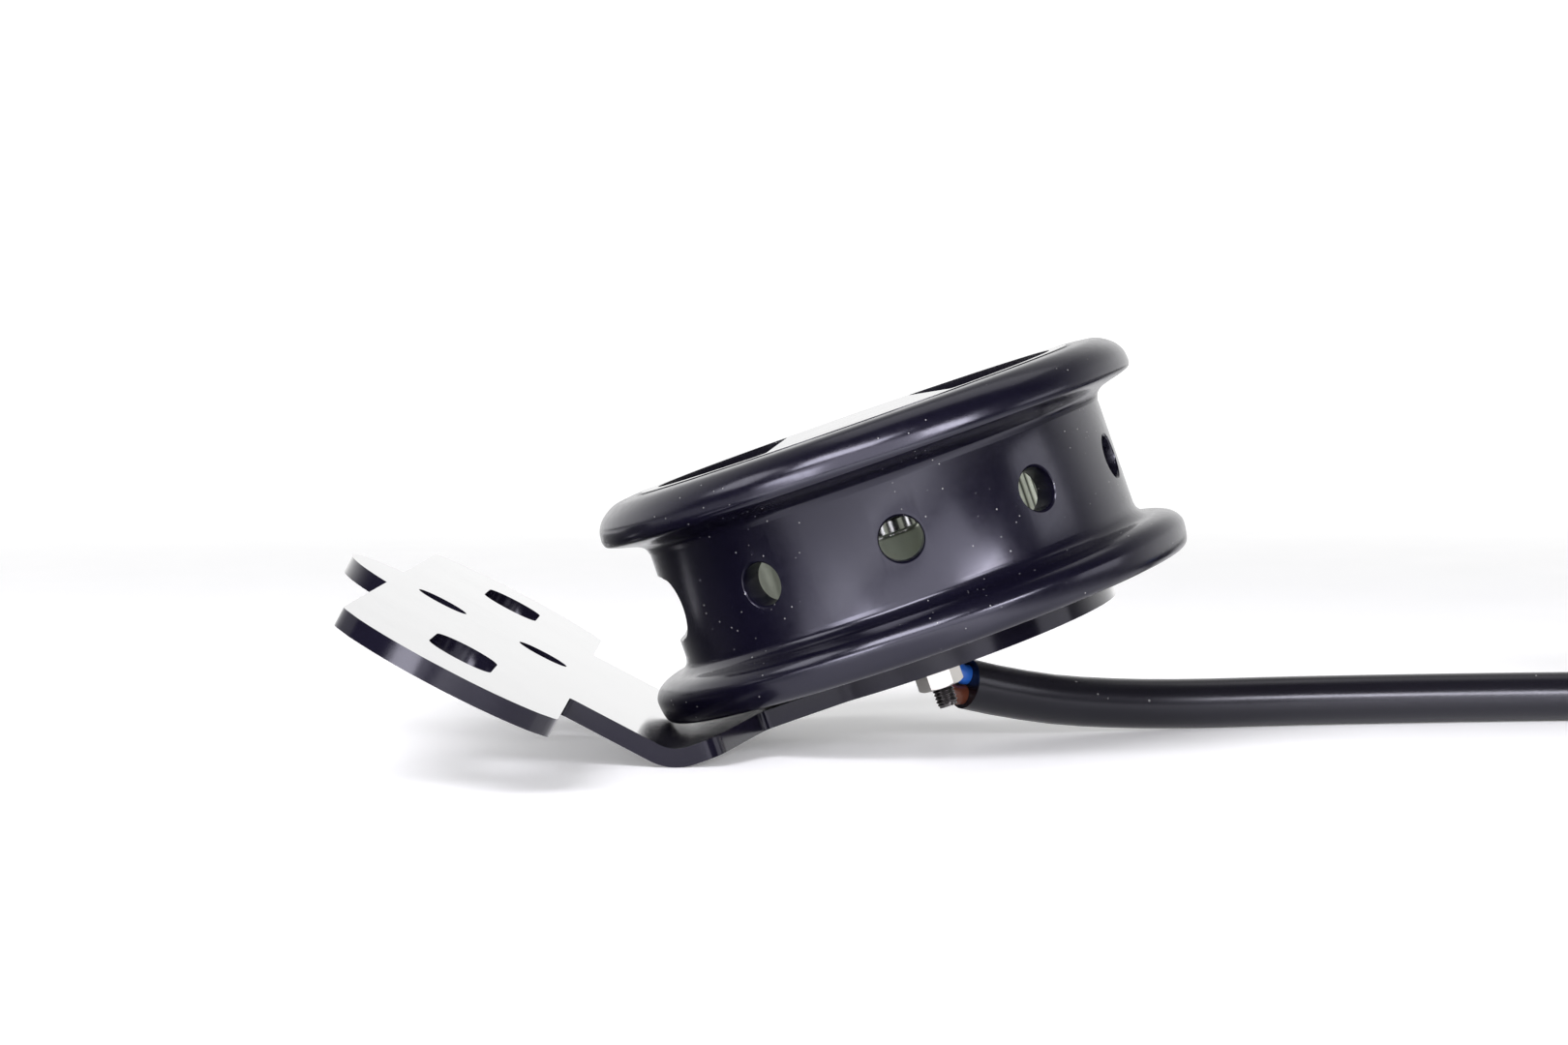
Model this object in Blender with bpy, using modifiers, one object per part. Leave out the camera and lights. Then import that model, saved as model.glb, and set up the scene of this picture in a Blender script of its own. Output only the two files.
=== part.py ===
"""Enclosed cup anemometer lying on its bracket, in metres, +Z up.

A spool-shaped guard housing holds a small rotor of six half-round cups on a
shaft between two ball bearings.  The housing is bolted to the round end of a
bent sheet bracket.  The object lies with the bracket's bend on the surface, so
the rotor's axis leans.  Everything on that axis is made upright in its own
frame (origin at the centre of the bracket's round seat) and hangs on one
tilted empty.  The lead leaves under the seat and lies along the surface.
"""
import bpy
import bmesh
from math import sin, cos, pi, radians, sqrt, acos, atan2, hypot
from mathutils import Vector, Matrix

MM = 0.001

# ---------------------------------------------------------------- dimensions
TILT = radians(19.0)          # lean of the rotor axis towards -X
GAP = 0.3                     # mm between pieces that touch

# bracket (one bent sheet), lengths in mm
SHEET = 2.5
SEAT_R = 26.9                 # round seat under the housing
NECK_HALF = 23.2              # neck between seat and arm
ARM_HALF = 35.7               # half width of the arm
ARM_START = 25.4              # the arm's shoulders, from the seat's centre
BEND_START = 35.48            # where the bend begins, from the seat's centre
BEND_R = 5.0                  # inside radius of the bend
BEND_ANGLE = radians(47.08)
ARM_LEN = 13.18               # from the bend's end to the clamp plate
PLATE_LEN = 29.8              # clamp plate along the arm
PLATE_HALF = 66.0             # half width of the plate at its corners
PLATE_BULGE = 7.5             # how far its two ends bow out
TAB_HALF, TAB_BULGE = 12.3, 6.8
STUD_X, STUD_Y = 1.05, 20.0    # one at (-x, -y), one at (x, y)
SLOT_L, SLOT_W, SLOT_Y = 19.8, 8.8, 47.3
HOLE_D = 7.5

# guard housing
FLANGE_R, WAIST_R, BORE_R = 39.25, 33.4, 29.6
HOUSING_BOTTOM, FLOOR_TOP = 1.2, 5.0
CREST_R, CREST_H = 33.84, 32.8
SHOULDER_H, REBATE_R = 29.7, 32.0
PORT_D, PORT_H, PORT_STEP = 6.0, 16.5, radians(36.0)
SIDE_SLOT_L, SIDE_SLOT_W, SIDE_SLOT_H = 24.0, 8.2, 16.2

# bearing bridge
BRIDGE_R, BRIDGE_RIM, BRIDGE_TOP = 31.7, 29.2, 32.9
BRIDGE_HALF_FRONT, BRIDGE_HALF_REAR = 13.5, 9.3
BOSS_R, BOSS_BOTTOM, POCKET_R = 6.5, 26.2, 4.3

# rotor
SHAFT_R, ROTOR_R = 1.5, 26.0
DISC_H, DISC_T = 10.6, 1.0
CUP_R, CUP_WALL, CUP_AT = 5.3, 0.9, 19.6
CUP_BOTTOM, CUP_TOP = 11.9, 23.5
CUPS = 6

# lead
LEAD_D = 7.2
CORE_D = 2.8
COIL_MEAN, COIL_TURNS_WIDE, COIL_LAYERS = 40.0, 3, 2

# place of the seat's centre in the object's frame; the height makes the
# lowest edge of the bend touch z = 0
BEND_STEPS = 7
SEAT_X = 23.295
LOWEST = max((BEND_R + SHEET) * cos(BEND_ANGLE * k / BEND_STEPS - TILT) for k in range(BEND_STEPS + 1))
SEAT_Z = BEND_START * sin(TILT) - BEND_R * cos(TILT) + LOWEST

# ------------------------------------------------------------------- set-up
for ob in list(bpy.data.objects):
    bpy.data.objects.remove(ob, do_unlink=True)

scene_root = bpy.context.scene.collection
parts = bpy.data.collections.new("cup_anemometer")
cutters = bpy.data.collections.new("cutters")
scene_root.children.link(parts)
scene_root.children.link(cutters)


def material(name, colour, roughness, metallic):
    m = bpy.data.materials.new(name)
    m.use_nodes = True
    b = m.node_tree.nodes["Principled BSDF"]
    b.inputs["Base Color"].default_value = (*colour, 1.0)
    b.inputs["Roughness"].default_value = roughness
    b.inputs["Metallic"].default_value = metallic
    return m


BLACK = dict(colour=(0.010, 0.010, 0.014), roughness=0.33, metallic=0.0)
STEEL = dict(colour=(0.62, 0.61, 0.60), roughness=0.28, metallic=1.0)


def empty(name, parent=None):
    e = bpy.data.objects.new(name, None)
    e.empty_display_size = 10 * MM
    parts.objects.link(e)
    e.parent = parent
    return e


axis_frame = empty("axis_frame")
axis_frame.location = (SEAT_X * MM, 0.0, SEAT_Z * MM)
axis_frame.rotation_euler = (0.0, -TILT, 0.0)
rotor_frame = empty("rotor_frame", axis_frame)


def link(ob, parent, look=None, cutter=False):
    (cutters if cutter else parts).objects.link(ob)
    ob.parent = parent
    if cutter:
        ob.hide_render = True
        ob.display_type = "WIRE"
    elif look:
        ob.data.materials.append(material(ob.name, **look))
    return ob


def finish_mesh(me, angle=35.0):
    me.shade_smooth()
    me.set_sharp_from_angle(angle=radians(angle))
    return me


# ------------------------------------------------------------ shape helpers
def arc(cx, cy, r, a0, a1, n):
    return [(cx + r * cos(a0 + (a1 - a0) * k / n), cy + r * sin(a0 + (a1 - a0) * k / n)) for k in range(n + 1)]


def bow(p, q, bulge, n):
    """Points of a circular arc from p to q that stands out by bulge on the
    left-hand side of the way from p to q."""
    dx, dy = q[0] - p[0], q[1] - p[1]
    c = hypot(dx, dy)
    r = (c * c / 4 + bulge * bulge) / (2 * bulge)
    half = acos((r - bulge) / r)
    ux, uy = dx / c, dy / c
    nx, ny = -uy, ux
    mx, my = (p[0] + q[0]) / 2 - nx * (r - bulge), (p[1] + q[1]) / 2 - ny * (r - bulge)
    out = []
    for k in range(n + 1):
        t = -half + 2 * half * k / n
        out.append((mx + r * (cos(t) * nx + sin(t) * ux), my + r * (cos(t) * ny + sin(t) * uy)))
    return out


def rounded(points, n=4):
    """Outline of (x, y, radius) corners, with each corner rounded."""
    out = []
    m = len(points)
    for i, (x, y, r) in enumerate(points):
        if r <= 0:
            out.append((x, y))
            continue
        p = Vector((points[i - 1][0] - x, points[i - 1][1] - y)).normalized()
        q = Vector((points[(i + 1) % m][0] - x, points[(i + 1) % m][1] - y)).normalized()
        half = acos(max(-1, min(1, p.dot(q)))) / 2
        d = r / max(1e-6, abs(sin(half) / cos(half)))
        c = Vector((x, y)) + (p + q).normalized() * (r / sin(half))
        a = Vector((x, y)) + p * d - c
        b = Vector((x, y)) + q * d - c
        a0, a1 = atan2(a.y, a.x), atan2(b.y, b.x)
        while a1 - a0 > pi:
            a1 -= 2 * pi
        while a1 - a0 < -pi:
            a1 += 2 * pi
        out += arc(c.x, c.y, r, a0, a1, n)
    return out


def obround(cx, cy, length, width, along_y=True, n=8):
    h, r = (length - width) / 2, width / 2
    pts = arc(0, h, r, 0, pi, n) + arc(0, -h, r, pi, 2 * pi, n)
    if not along_y:
        pts = [(y, -x) for x, y in pts]
    return [(cx + x, cy + y) for x, y in pts]


def outline_curve(name, loops, z0, z1):
    cu = bpy.data.curves.new(name, "CURVE")
    cu.dimensions = "2D"
    cu.fill_mode = "BOTH"
    cu.extrude = (z1 - z0) / 2 * MM
    for loop in loops:
        sp = cu.splines.new("POLY")
        sp.points.add(len(loop) - 1)
        for p, (x, y) in zip(sp.points, loop):
            p.co = (x * MM, y * MM, 0.0, 1.0)
        sp.use_cyclic_u = True
    ob = bpy.data.objects.new(name, cu)
    ob.location = (0, 0, (z0 + z1) / 2 * MM)
    return ob


def to_mesh(ob, collection, parent):
    """The curve object as a closed mesh object in the same place."""
    scene_root.objects.link(ob)
    bpy.context.view_layer.update()
    deps = bpy.context.evaluated_depsgraph_get()
    me = bpy.data.meshes.new_from_object(ob.evaluated_get(deps))
    name, mat = ob.name, ob.matrix_world.copy()
    cu = ob.data
    bpy.data.objects.remove(ob, do_unlink=True)
    bpy.data.curves.remove(cu)
    me.transform(mat)
    bm = bmesh.new()
    bm.from_mesh(me)
    bmesh.ops.remove_doubles(bm, verts=bm.verts, dist=1e-6)
    bmesh.ops.recalc_face_normals(bm, faces=bm.faces)
    bm.to_mesh(me)
    bm.free()
    me.name = name
    return bpy.data.objects.new(name, me)


def plate(name, loops, z0, z1, parent, look=None, cutter=False):
    ob = to_mesh(outline_curve(name, loops, z0, z1), None, None)
    return link(ob, parent, look, cutter)


def turned(name, profile, parent, look=None, steps=48, closed=True, cutter=False):
    """A profile of (radius, height) turned round the axis.  It runs down its
    outer side, from top to bottom; an open one starts and ends on the axis."""
    me = bpy.data.meshes.new(name)
    bm = bmesh.new()
    vs = [bm.verts.new((r * MM, 0.0, h * MM)) for r, h in profile]
    for a, b in zip(vs, vs[1:]):
        bm.edges.new((a, b))
    if closed:
        bm.edges.new((vs[-1], vs[0]))
    bm.to_mesh(me)
    bm.free()
    ob = bpy.data.objects.new(name, me)
    s = ob.modifiers.new("turn", "SCREW")
    s.axis = "Z"
    s.angle = 2 * pi
    s.steps = s.render_steps = steps
    s.use_merge_vertices = True
    s.merge_threshold = 0.00001
    s.use_normal_calculate = False
    s.use_smooth_shade = True
    return link(ob, parent, look, cutter)


def rod(name, r, start, end, parent, look=None, n=24, cutter=False):
    """Round bar between two points of the parent's frame, in mm."""
    a, b = Vector(start) * MM, Vector(end) * MM
    me = bpy.data.meshes.new(name)
    bm = bmesh.new()
    bmesh.ops.create_cone(bm, cap_ends=True, cap_tris=False, segments=n, radius1=r * MM, radius2=r * MM, depth=(b - a).length)
    bm.to_mesh(me)
    bm.free()
    finish_mesh(me)
    ob = bpy.data.objects.new(name, me)
    ob.location = (a + b) / 2
    ob.rotation_euler = (b - a).to_track_quat("Z", "Y").to_euler()
    return link(ob, parent, look, cutter)


def cut(ob, cutter, operation="DIFFERENCE"):
    m = ob.modifiers.new(operation.lower() + "_" + cutter.name, "BOOLEAN")
    m.operation = operation
    m.solver = "EXACT"
    m.object = cutter


def tube(name, points, diameter, look, resolution=3):
    """Round tube through world points in metres."""
    cu = bpy.data.curves.new(name, "CURVE")
    cu.dimensions = "3D"
    cu.bevel_depth = diameter / 2 * MM
    cu.bevel_resolution = resolution
    cu.use_fill_caps = True
    sp = cu.splines.new("POLY")
    sp.points.add(len(points) - 1)
    for p, co in zip(sp.points, points):
        p.co = (*co, 1.0)
    ob = bpy.data.objects.new(name, cu)
    return link(ob, None, look)


def smooth_route(points, spacing):
    """Even points along a Catmull-Rom curve through the given points (mm)."""
    P = [Vector(p) for p in points]
    P = [P[0] * 2 - P[1]] + P + [P[-1] * 2 - P[-2]]
    fine = []
    for i in range(1, len(P) - 2):
        p0, p1, p2, p3 = P[i - 1:i + 3]
        for k in range(24):
            t = k / 24
            fine.append(0.5 * ((2 * p1) + (p2 - p0) * t + (2 * p0 - 5 * p1 + 4 * p2 - p3) * t * t
                               + (3 * p1 - p0 - 3 * p2 + p3) * t ** 3))
    fine.append(P[-2])
    length = sum((b - a).length for a, b in zip(fine, fine[1:]))
    n = max(2, round(length / spacing))
    out, want, run = [fine[0]], length / n, 0.0
    for a, b in zip(fine, fine[1:]):
        step = (b - a).length
        while run + step >= want - 1e-9 and len(out) < n:
            t = (want - run) / step
            out.append(a.lerp(b, t))
            want += length / n
        run += step
    out.append(fine[-1])
    return [p * MM for p in out]


def in_frame(x, y, h):
    """A point of the tilted axis frame (mm) in the object's frame (mm)."""
    return (SEAT_X + x * cos(TILT) - h * sin(TILT), y, SEAT_Z + x * sin(TILT) + h * cos(TILT))


# ---------------------------------------------------------- guard housing
profile = [
    (CREST_R, CREST_H), (36.0, 32.45), (37.9, 31.3), (38.95, 29.9), (FLANGE_R, 28.5),
    (39.2, 27.7), (38.8, 27.1), (36.9, 26.75), (36.7, 26.3), (34.7, 25.85),
    (33.8, 25.2), (WAIST_R, 24.2), (WAIST_R, 8.9), (33.7, 7.9), (34.8, 7.0), (36.6, 6.65),
    (38.1, 6.0), (39.0, 5.0), (FLANGE_R, 3.9), (38.9, 1.8), (38.2, 1.0), (37.2, 0.9),
    (27.4, 0.9), (27.1, HOUSING_BOTTOM), (5.0, HOUSING_BOTTOM), (5.0, FLOOR_TOP), (BORE_R, FLOOR_TOP),
    (BORE_R, SHOULDER_H), (REBATE_R, SHOULDER_H), (REBATE_R, 31.9), (32.7, 32.65),
]
housing = turned("guard_housing", profile, axis_frame, BLACK, steps=60)
for k in range(-1, 7):
    a = k * PORT_STEP
    d = (sin(a), -cos(a))
    c = rod("port_%d" % (k + 1), PORT_D / 2, (d[0] * 27, d[1] * 27, PORT_H), (d[0] * 36, d[1] * 36, PORT_H), axis_frame,
            n=16, cutter=True)
    cut(housing, c)
side = plate("side_slot", [obround(0, 0, SIDE_SLOT_L, SIDE_SLOT_W)], -4.5, 4.5, axis_frame, cutter=True)
side.rotation_euler = (0, radians(90), 0)
side.location = (-32.0 * MM, 0, SIDE_SLOT_H * MM)
cut(housing, side)
for tag, s in (("front", -1), ("rear", 1)):
    x, y = s * STUD_X, s * STUD_Y
    cut(housing, rod("stud_bore_" + tag, SHAFT_R + GAP, (x, y, 0), (x, y, 4.6), axis_frame, n=20, cutter=True))

# ---------------------------------------------------------- bearing bridge
bridge = turned("bearing_bridge", [(0, BRIDGE_TOP), (BRIDGE_R - 0.5, BRIDGE_TOP), (BRIDGE_R, BRIDGE_TOP - 0.4),
                                   (BRIDGE_R, 30.0), (BOSS_R + 0.5, 30.0), (BOSS_R, 29.5), (BOSS_R, BOSS_BOTTOM),
                                   (POCKET_R, BOSS_BOTTOM), (POCKET_R, 30.5), (0, 30.5)],
                axis_frame, BLACK, steps=48, closed=False)
for sign, tag in ((1, "right"), (-1, "left")):
    y0 = 25.4
    def half(y):
        t = (y + BRIDGE_RIM) / (2 * BRIDGE_RIM)
        return BRIDGE_HALF_FRONT + (BRIDGE_HALF_REAR - BRIDGE_HALF_FRONT) * t
    a0 = atan2(-sqrt(BRIDGE_RIM ** 2 - half(-y0) ** 2), half(-y0))
    a1 = atan2(sqrt(BRIDGE_RIM ** 2 - half(y0) ** 2), half(y0))
    rim = arc(0, 0, BRIDGE_RIM, a0 + 0.05, a1 - 0.05, 28)
    yf, yr = rim[0][1] + 1.6, rim[-1][1] - 1.6
    loop = rim + [(half(yr) + 0.35, rim[-1][1] - 0.5), (half(yr), yr), (half(yf), yf), (half(yf) + 0.35, rim[0][1] + 0.5)]
    loop = [(sign * x, y) for x, y in loop]
    cut(bridge, plate("window_" + tag, [loop], 29.0, 34.0, axis_frame, cutter=True))

# ---------------------------------------------------------------- bracket
# flat pattern: u runs from the seat's centre along the arm, over the bend
BEND_END = BEND_START + BEND_R * BEND_ANGLE
U1 = BEND_END + ARM_LEN
U2 = U1 + PLATE_LEN
# seat, from its far right round the front to the neck
ang_end = -pi + atan2(NECK_HALF + 0.35, sqrt(SEAT_R ** 2 - (NECK_HALF + 0.35) ** 2))
front = list(arc(0, 0, SEAT_R, 0, ang_end, 30))
front += [(-14.8, -NECK_HALF), (-ARM_START + 0.9, -NECK_HALF), (-ARM_START, -NECK_HALF - 0.35), (-ARM_START - 0.6, -NECK_HALF - 1.1)]
front += [(-31.0, -ARM_HALF + 2.2), (-31.8, -ARM_HALF + 1.0), (-33.0, -ARM_HALF + 0.25), (-34.4, -ARM_HALF)]
front += [(-U1 + 0.8, -ARM_HALF), (-U1 + 0.2, -ARM_HALF - 0.2), (-U1, -ARM_HALF - 0.8)]
end = bow((-U1, -PLATE_HALF), (-U2, -PLATE_HALF), PLATE_BULGE, 14)
# soften the two corners of the bowed end
front += [(-U1, -PLATE_HALF + 1.4), (-U1 - 0.28, -PLATE_HALF + 0.25), (-U1 - 1.1, -PLATE_HALF - 1.0)] + end[2:-2]
front += [(-U2 + 1.1, -PLATE_HALF - 1.0), (-U2 + 0.28, -PLATE_HALF + 0.25), (-U2, -PLATE_HALF + 1.4)]
front += [(-U2, -TAB_HALF - 0.5)]
tab = bow((-U2, -TAB_HALF), (-U2, TAB_HALF), TAB_BULGE, 14)
front_tab = [p for p in tab if p[1] < -1e-6]
pattern_front = front + front_tab
tip = [(-U2 - TAB_BULGE, 0.0)]
pattern_back = [(x, -y) for x, y in reversed(pattern_front)]
outline = pattern_front + tip + pattern_back[:-1]

UM = (U1 + U2) / 2
holes = [obround(-UM + 0.2, s * SLOT_Y, SLOT_L, SLOT_W, True, 7) for s in (-1, 1)]
holes += [arc(-UM + 0.6 + s * 8.0, 0, HOLE_D / 2, 0, 2 * pi, 20)[:-1] for s in (-1, 1)]
holes += [arc(s * STUD_X, s * STUD_Y, SHAFT_R + GAP, 0, 2 * pi, 16)[:-1] for s in (-1, 1)]
holes += [arc(0, 0, 4.5, 0, 2 * pi, 20)[:-1]]

flat = to_mesh(outline_curve("mounting_bracket", [outline] + holes, -SHEET, 0.0), None, None)
bm = bmesh.new()
bm.from_mesh(flat.data)
for k in range(BEND_STEPS + 1):
    u = -(BEND_START + BEND_R * BEND_ANGLE * k / BEND_STEPS) * MM
    bmesh.ops.bisect_plane(bm, geom=bm.verts[:] + bm.edges[:] + bm.faces[:], dist=1e-7, plane_co=(u, 0, 0), plane_no=(1, 0, 0))
for v in bm.verts:
    q, t = -v.co.x / MM, v.co.z / MM
    if q > BEND_START - 1e-6:
        r = BEND_R - t
        a = min((q - BEND_START) / BEND_R, BEND_ANGLE)
        rest = max(0.0, q - BEND_END)
        v.co.x = (-BEND_START - r * sin(a) - rest * cos(a)) * MM
        v.co.z = (BEND_R - r * cos(a) + rest * sin(a)) * MM
bmesh.ops.recalc_face_normals(bm, faces=bm.faces)
bm.to_mesh(flat.data)
bm.free()
finish_mesh(flat.data, 30)
bracket = link(flat, axis_frame, dict(colour=(0.012, 0.012, 0.016), roughness=0.30, metallic=0.0))

# base gasket between the seat and the housing
gasket = turned("base_gasket", [(25.5, 0.9), (25.5, 0.3), (8.0, 0.3), (8.0, 0.9)], axis_frame,
                dict(colour=(0.02, 0.02, 0.02), roughness=0.8, metallic=0.0), steps=32)
for tag, s in (("front", -1), ("rear", 1)):
    x, y = s * STUD_X, s * STUD_Y
    cut(gasket, rod("gasket_bore_" + tag, SHAFT_R + GAP + 0.2, (x, y, -1), (x, y, 2), axis_frame, n=20, cutter=True))

# studs with their nuts, under the seat
for tag, s in (("front", -1), ("rear", 1)):
    thread = [(0, 4.3), (SHAFT_R - 0.3, 4.3), (SHAFT_R, 4.0), (SHAFT_R, -5.4)]
    h = -5.4
    while h > -7.1:
        thread += [(1.22, h - 0.25), (SHAFT_R, h - 0.5)]
        h -= 0.5
    thread += [(SHAFT_R, -7.5), (1.15, -7.85), (0, -7.85)]
    stud = turned("stud_" + tag, thread, axis_frame, STEEL, steps=12, closed=False)
    stud.location = (s * STUD_X * MM, s * STUD_Y * MM, 0)
    hexagon = [(5.5 / sqrt(3) * cos(radians(60 * k)), 5.5 / sqrt(3) * sin(radians(60 * k))) for k in range(6)]
    nut = plate("nut_" + tag, [hexagon, arc(0, 0, SHAFT_R + GAP, 0, 2 * pi, 20)[:-1]], -5.1, -2.8, axis_frame, STEEL)
    nut.location = (s * STUD_X * MM, s * STUD_Y * MM, 0)

# ---------------------------------------------------------- inside the housing
turned("bearing_post", [(POCKET_R, 10.1), (6.2, 10.1), (BOSS_R, 9.8), (BOSS_R, 7.2), (7.0, 6.6), (11.0, 6.5), (11.0, 5.3),
                        (2.0, 5.3), (2.0, 6.1), (POCKET_R, 6.1)], axis_frame,
       dict(colour=(0.55, 0.56, 0.57), roughness=0.35, metallic=1.0), steps=28)
board = turned("sensor_board", [(27.0, 6.5), (27.0, 5.3), (12.0, 5.3), (12.0, 6.5)], axis_frame,
               dict(colour=(0.02, 0.16, 0.07), roughness=0.45, metallic=0.0), steps=32)
rod("reed_switch", 1.0, (18.0, -6.0, 7.8), (18.0, 6.0, 7.8), axis_frame,
    dict(colour=(0.35, 0.42, 0.40), roughness=0.15, metallic=0.0), n=12)


def bearing(prefix, h0, h1):
    c = 0.3
    turned(prefix + "_bearing_outer", [(4.0 - c, h1), (4.0, h1 - c), (4.0, h0 + c), (4.0 - c, h0), (3.2, h0), (3.2, h1)],
           axis_frame, STEEL, steps=24)
    turned(prefix + "_bearing_inner", [(2.7, h1), (2.7, h0), (1.8, h0), (1.8, h1)], rotor_frame, STEEL, steps=24)


bearing("lower", 6.4, 9.9)
bearing("upper", 26.5, 30.1)

# ------------------------------------------------------------------- rotor
turned("rotor_shaft", [(0, 29.9), (1.2, 29.9), (SHAFT_R, 29.6), (SHAFT_R, 6.7), (1.2, 6.4), (0, 6.4)], rotor_frame, STEEL,
       steps=24, closed=False)
PALE = dict(colour=(0.62, 0.64, 0.60), roughness=0.45, metallic=0.0)
turned("rotor_disc", [(4.2, 15.5), (4.5, 15.2), (4.8, 12.2), (5.6, DISC_H + DISC_T), (ROTOR_R - 0.3, DISC_H + DISC_T),
                      (ROTOR_R, DISC_H + DISC_T - 0.3), (ROTOR_R, DISC_H + 0.2), (ROTOR_R - 0.2, DISC_H), (1.8, DISC_H),
                      (1.8, 15.5)], rotor_frame, PALE, steps=40)
turned("rotor_ring", [(ROTOR_R - 0.3, 24.8), (ROTOR_R, 24.5), (ROTOR_R, 24.0), (ROTOR_R - 0.2, 23.8), (13.2, 23.8),
                      (13.0, 24.0), (13.0, 24.6), (13.2, 24.8)], rotor_frame, PALE, steps=40)
turned("shaft_collar", [(3.7, 18.0), (4.0, 17.7), (4.0, 16.1), (3.7, 15.8), (1.8, 15.8), (1.8, 18.0)], rotor_frame, STEEL,
       steps=24)
turned("pulse_magnet", [(11.8, 10.3), (12.0, 10.1), (12.0, 9.3), (11.8, 9.1), (8.0, 9.1), (8.0, 10.3)], rotor_frame,
       dict(colour=(0.10, 0.10, 0.11), roughness=0.5, metallic=0.6), steps=28)
for k in range(CUPS):
    wall = arc(0, 0, CUP_R, -pi / 2, pi / 2, 14) + arc(0, 0, CUP_R - CUP_WALL, pi / 2, -pi / 2, 14)
    cup = plate("cup_%d" % (k + 1), [[(-x, y) for x, y in wall]], CUP_BOTTOM, CUP_TOP, rotor_frame, PALE)
    finish_mesh(cup.data, 40)
    a = 2 * pi * (k + 0.25) / CUPS
    cup.location = (CUP_AT * cos(a) * MM, CUP_AT * sin(a) * MM, 0)
    cup.rotation_euler = (0, 0, a + pi / 2)

# ---------------------------------------------------------------- lead
RUBBER = dict(colour=(0.008, 0.008, 0.009), roughness=0.38, metallic=0.0)
turned("lead_grommet", [(4.2, -0.2), (4.2, -2.8), (5.9, -2.8), (5.9, -3.1), (5.6, -3.4), (3.9, -3.4), (3.7, -3.2), (3.7, -0.2)],
       axis_frame, RUBBER, steps=24)

R = LEAD_D / 2
COIL_X, COIL_Y = SEAT_X + 166.0, 22.0 + COIL_MEAN + LEAD_D
jacket_route = [
    (SEAT_X + 4.9, -1.8, 7.95), (SEAT_X + 9.0, 0.6, 6.85), (SEAT_X + 17.5, 4.9, 5.1), (SEAT_X + 27.0, 8.8, 4.1),
    (SEAT_X + 38.0, 12.6, R + 0.02), (SEAT_X + 55.0, 16.6, R), (SEAT_X + 75.0, 19.6, R), (SEAT_X + 95.0, 21.4, R),
    (SEAT_X + 118.0, 22.0, R), (COIL_X - 27.0, 22.0, R),
]
tube("lead_jacket", smooth_route(jacket_route, 12.0), LEAD_D, RUBBER, 3)

# the two cores come down through the seat and turn into the jacket's end
route = smooth_route(jacket_route, 12.0)
lead_dir = (route[1] - route[0]).normalized()
lead_side = Vector((0, 0, 1)).cross(lead_dir).normalized()
lead_up = lead_dir.cross(lead_side)
mouth = Vector(jacket_route[0])
for tag, sx, up, colour in (("blue", 1.45, 1.35, (0.03, 0.16, 0.75)), ("brown", -1.5, -1.55, (0.16, 0.05, 0.02))):
    end = mouth + lead_up * up - lead_dir * 0.4
    bend = end - lead_dir * (1.0 if tag == "blue" else 2.2)
    a = Vector(in_frame(sx, -0.2, 0.2))
    b = Vector(in_frame(sx, -0.4, -2.6))
    tube("core_" + tag, smooth_route([a, b, bend, end], 1.2), CORE_D, dict(colour=colour, roughness=0.35, metallic=0.0), 2)

LIFT = 1.2                    # the tie passes under the coil and lifts it
w = COIL_TURNS_WIDE * LEAD_D / 2
hgt = COIL_LAYERS * LEAD_D
ri, ro = COIL_MEAN - w, COIL_MEAN + w
coil = turned("lead_coil", [(ro - 1.5, hgt), (ro, hgt - 1.5), (ro, 1.5), (ro - 1.5, 0), (ri + 1.5, 0), (ri, 1.5),
                            (ri, hgt - 1.5), (ri + 1.5, hgt)], None, RUBBER, steps=36)
coil.location = (COIL_X * MM, COIL_Y * MM, LIFT * MM)

# a flat band round one side of the coil
BAND = 0.9
z0, z1 = LIFT - GAP, LIFT + hgt + GAP
band_out = rounded([(ri - GAP - BAND, z0 - BAND, 1.0), (ro + GAP + BAND, z0 - BAND, 1.0),
                    (ro + GAP + BAND, z1 + BAND, 1.6), (ri - GAP - BAND, z1 + BAND, 1.6)], 4)
band_in = rounded([(ri - GAP, z0, 0.3), (ro + GAP, z0, 0.3), (ro + GAP, z1, 0.7), (ri - GAP, z1, 0.7)], 3)
tie = plate("coil_tie", [band_out, band_in], -3.0, 3.0, None, dict(colour=(0.02, 0.02, 0.02), roughness=0.6, metallic=0.0))
tie.rotation_euler = (radians(90), 0, radians(90))
tie.location = (COIL_X * MM, COIL_Y * MM, 0)

# the far end lies on the coil: the end of the jacket, its two cores and their crimped pins
def on_coil(r, z, a0, a1, n):
    return [(COIL_X + r * cos(a0 + (a1 - a0) * k / n), COIL_Y + r * sin(a0 + (a1 - a0) * k / n), z) for k in range(n + 1)]

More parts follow.
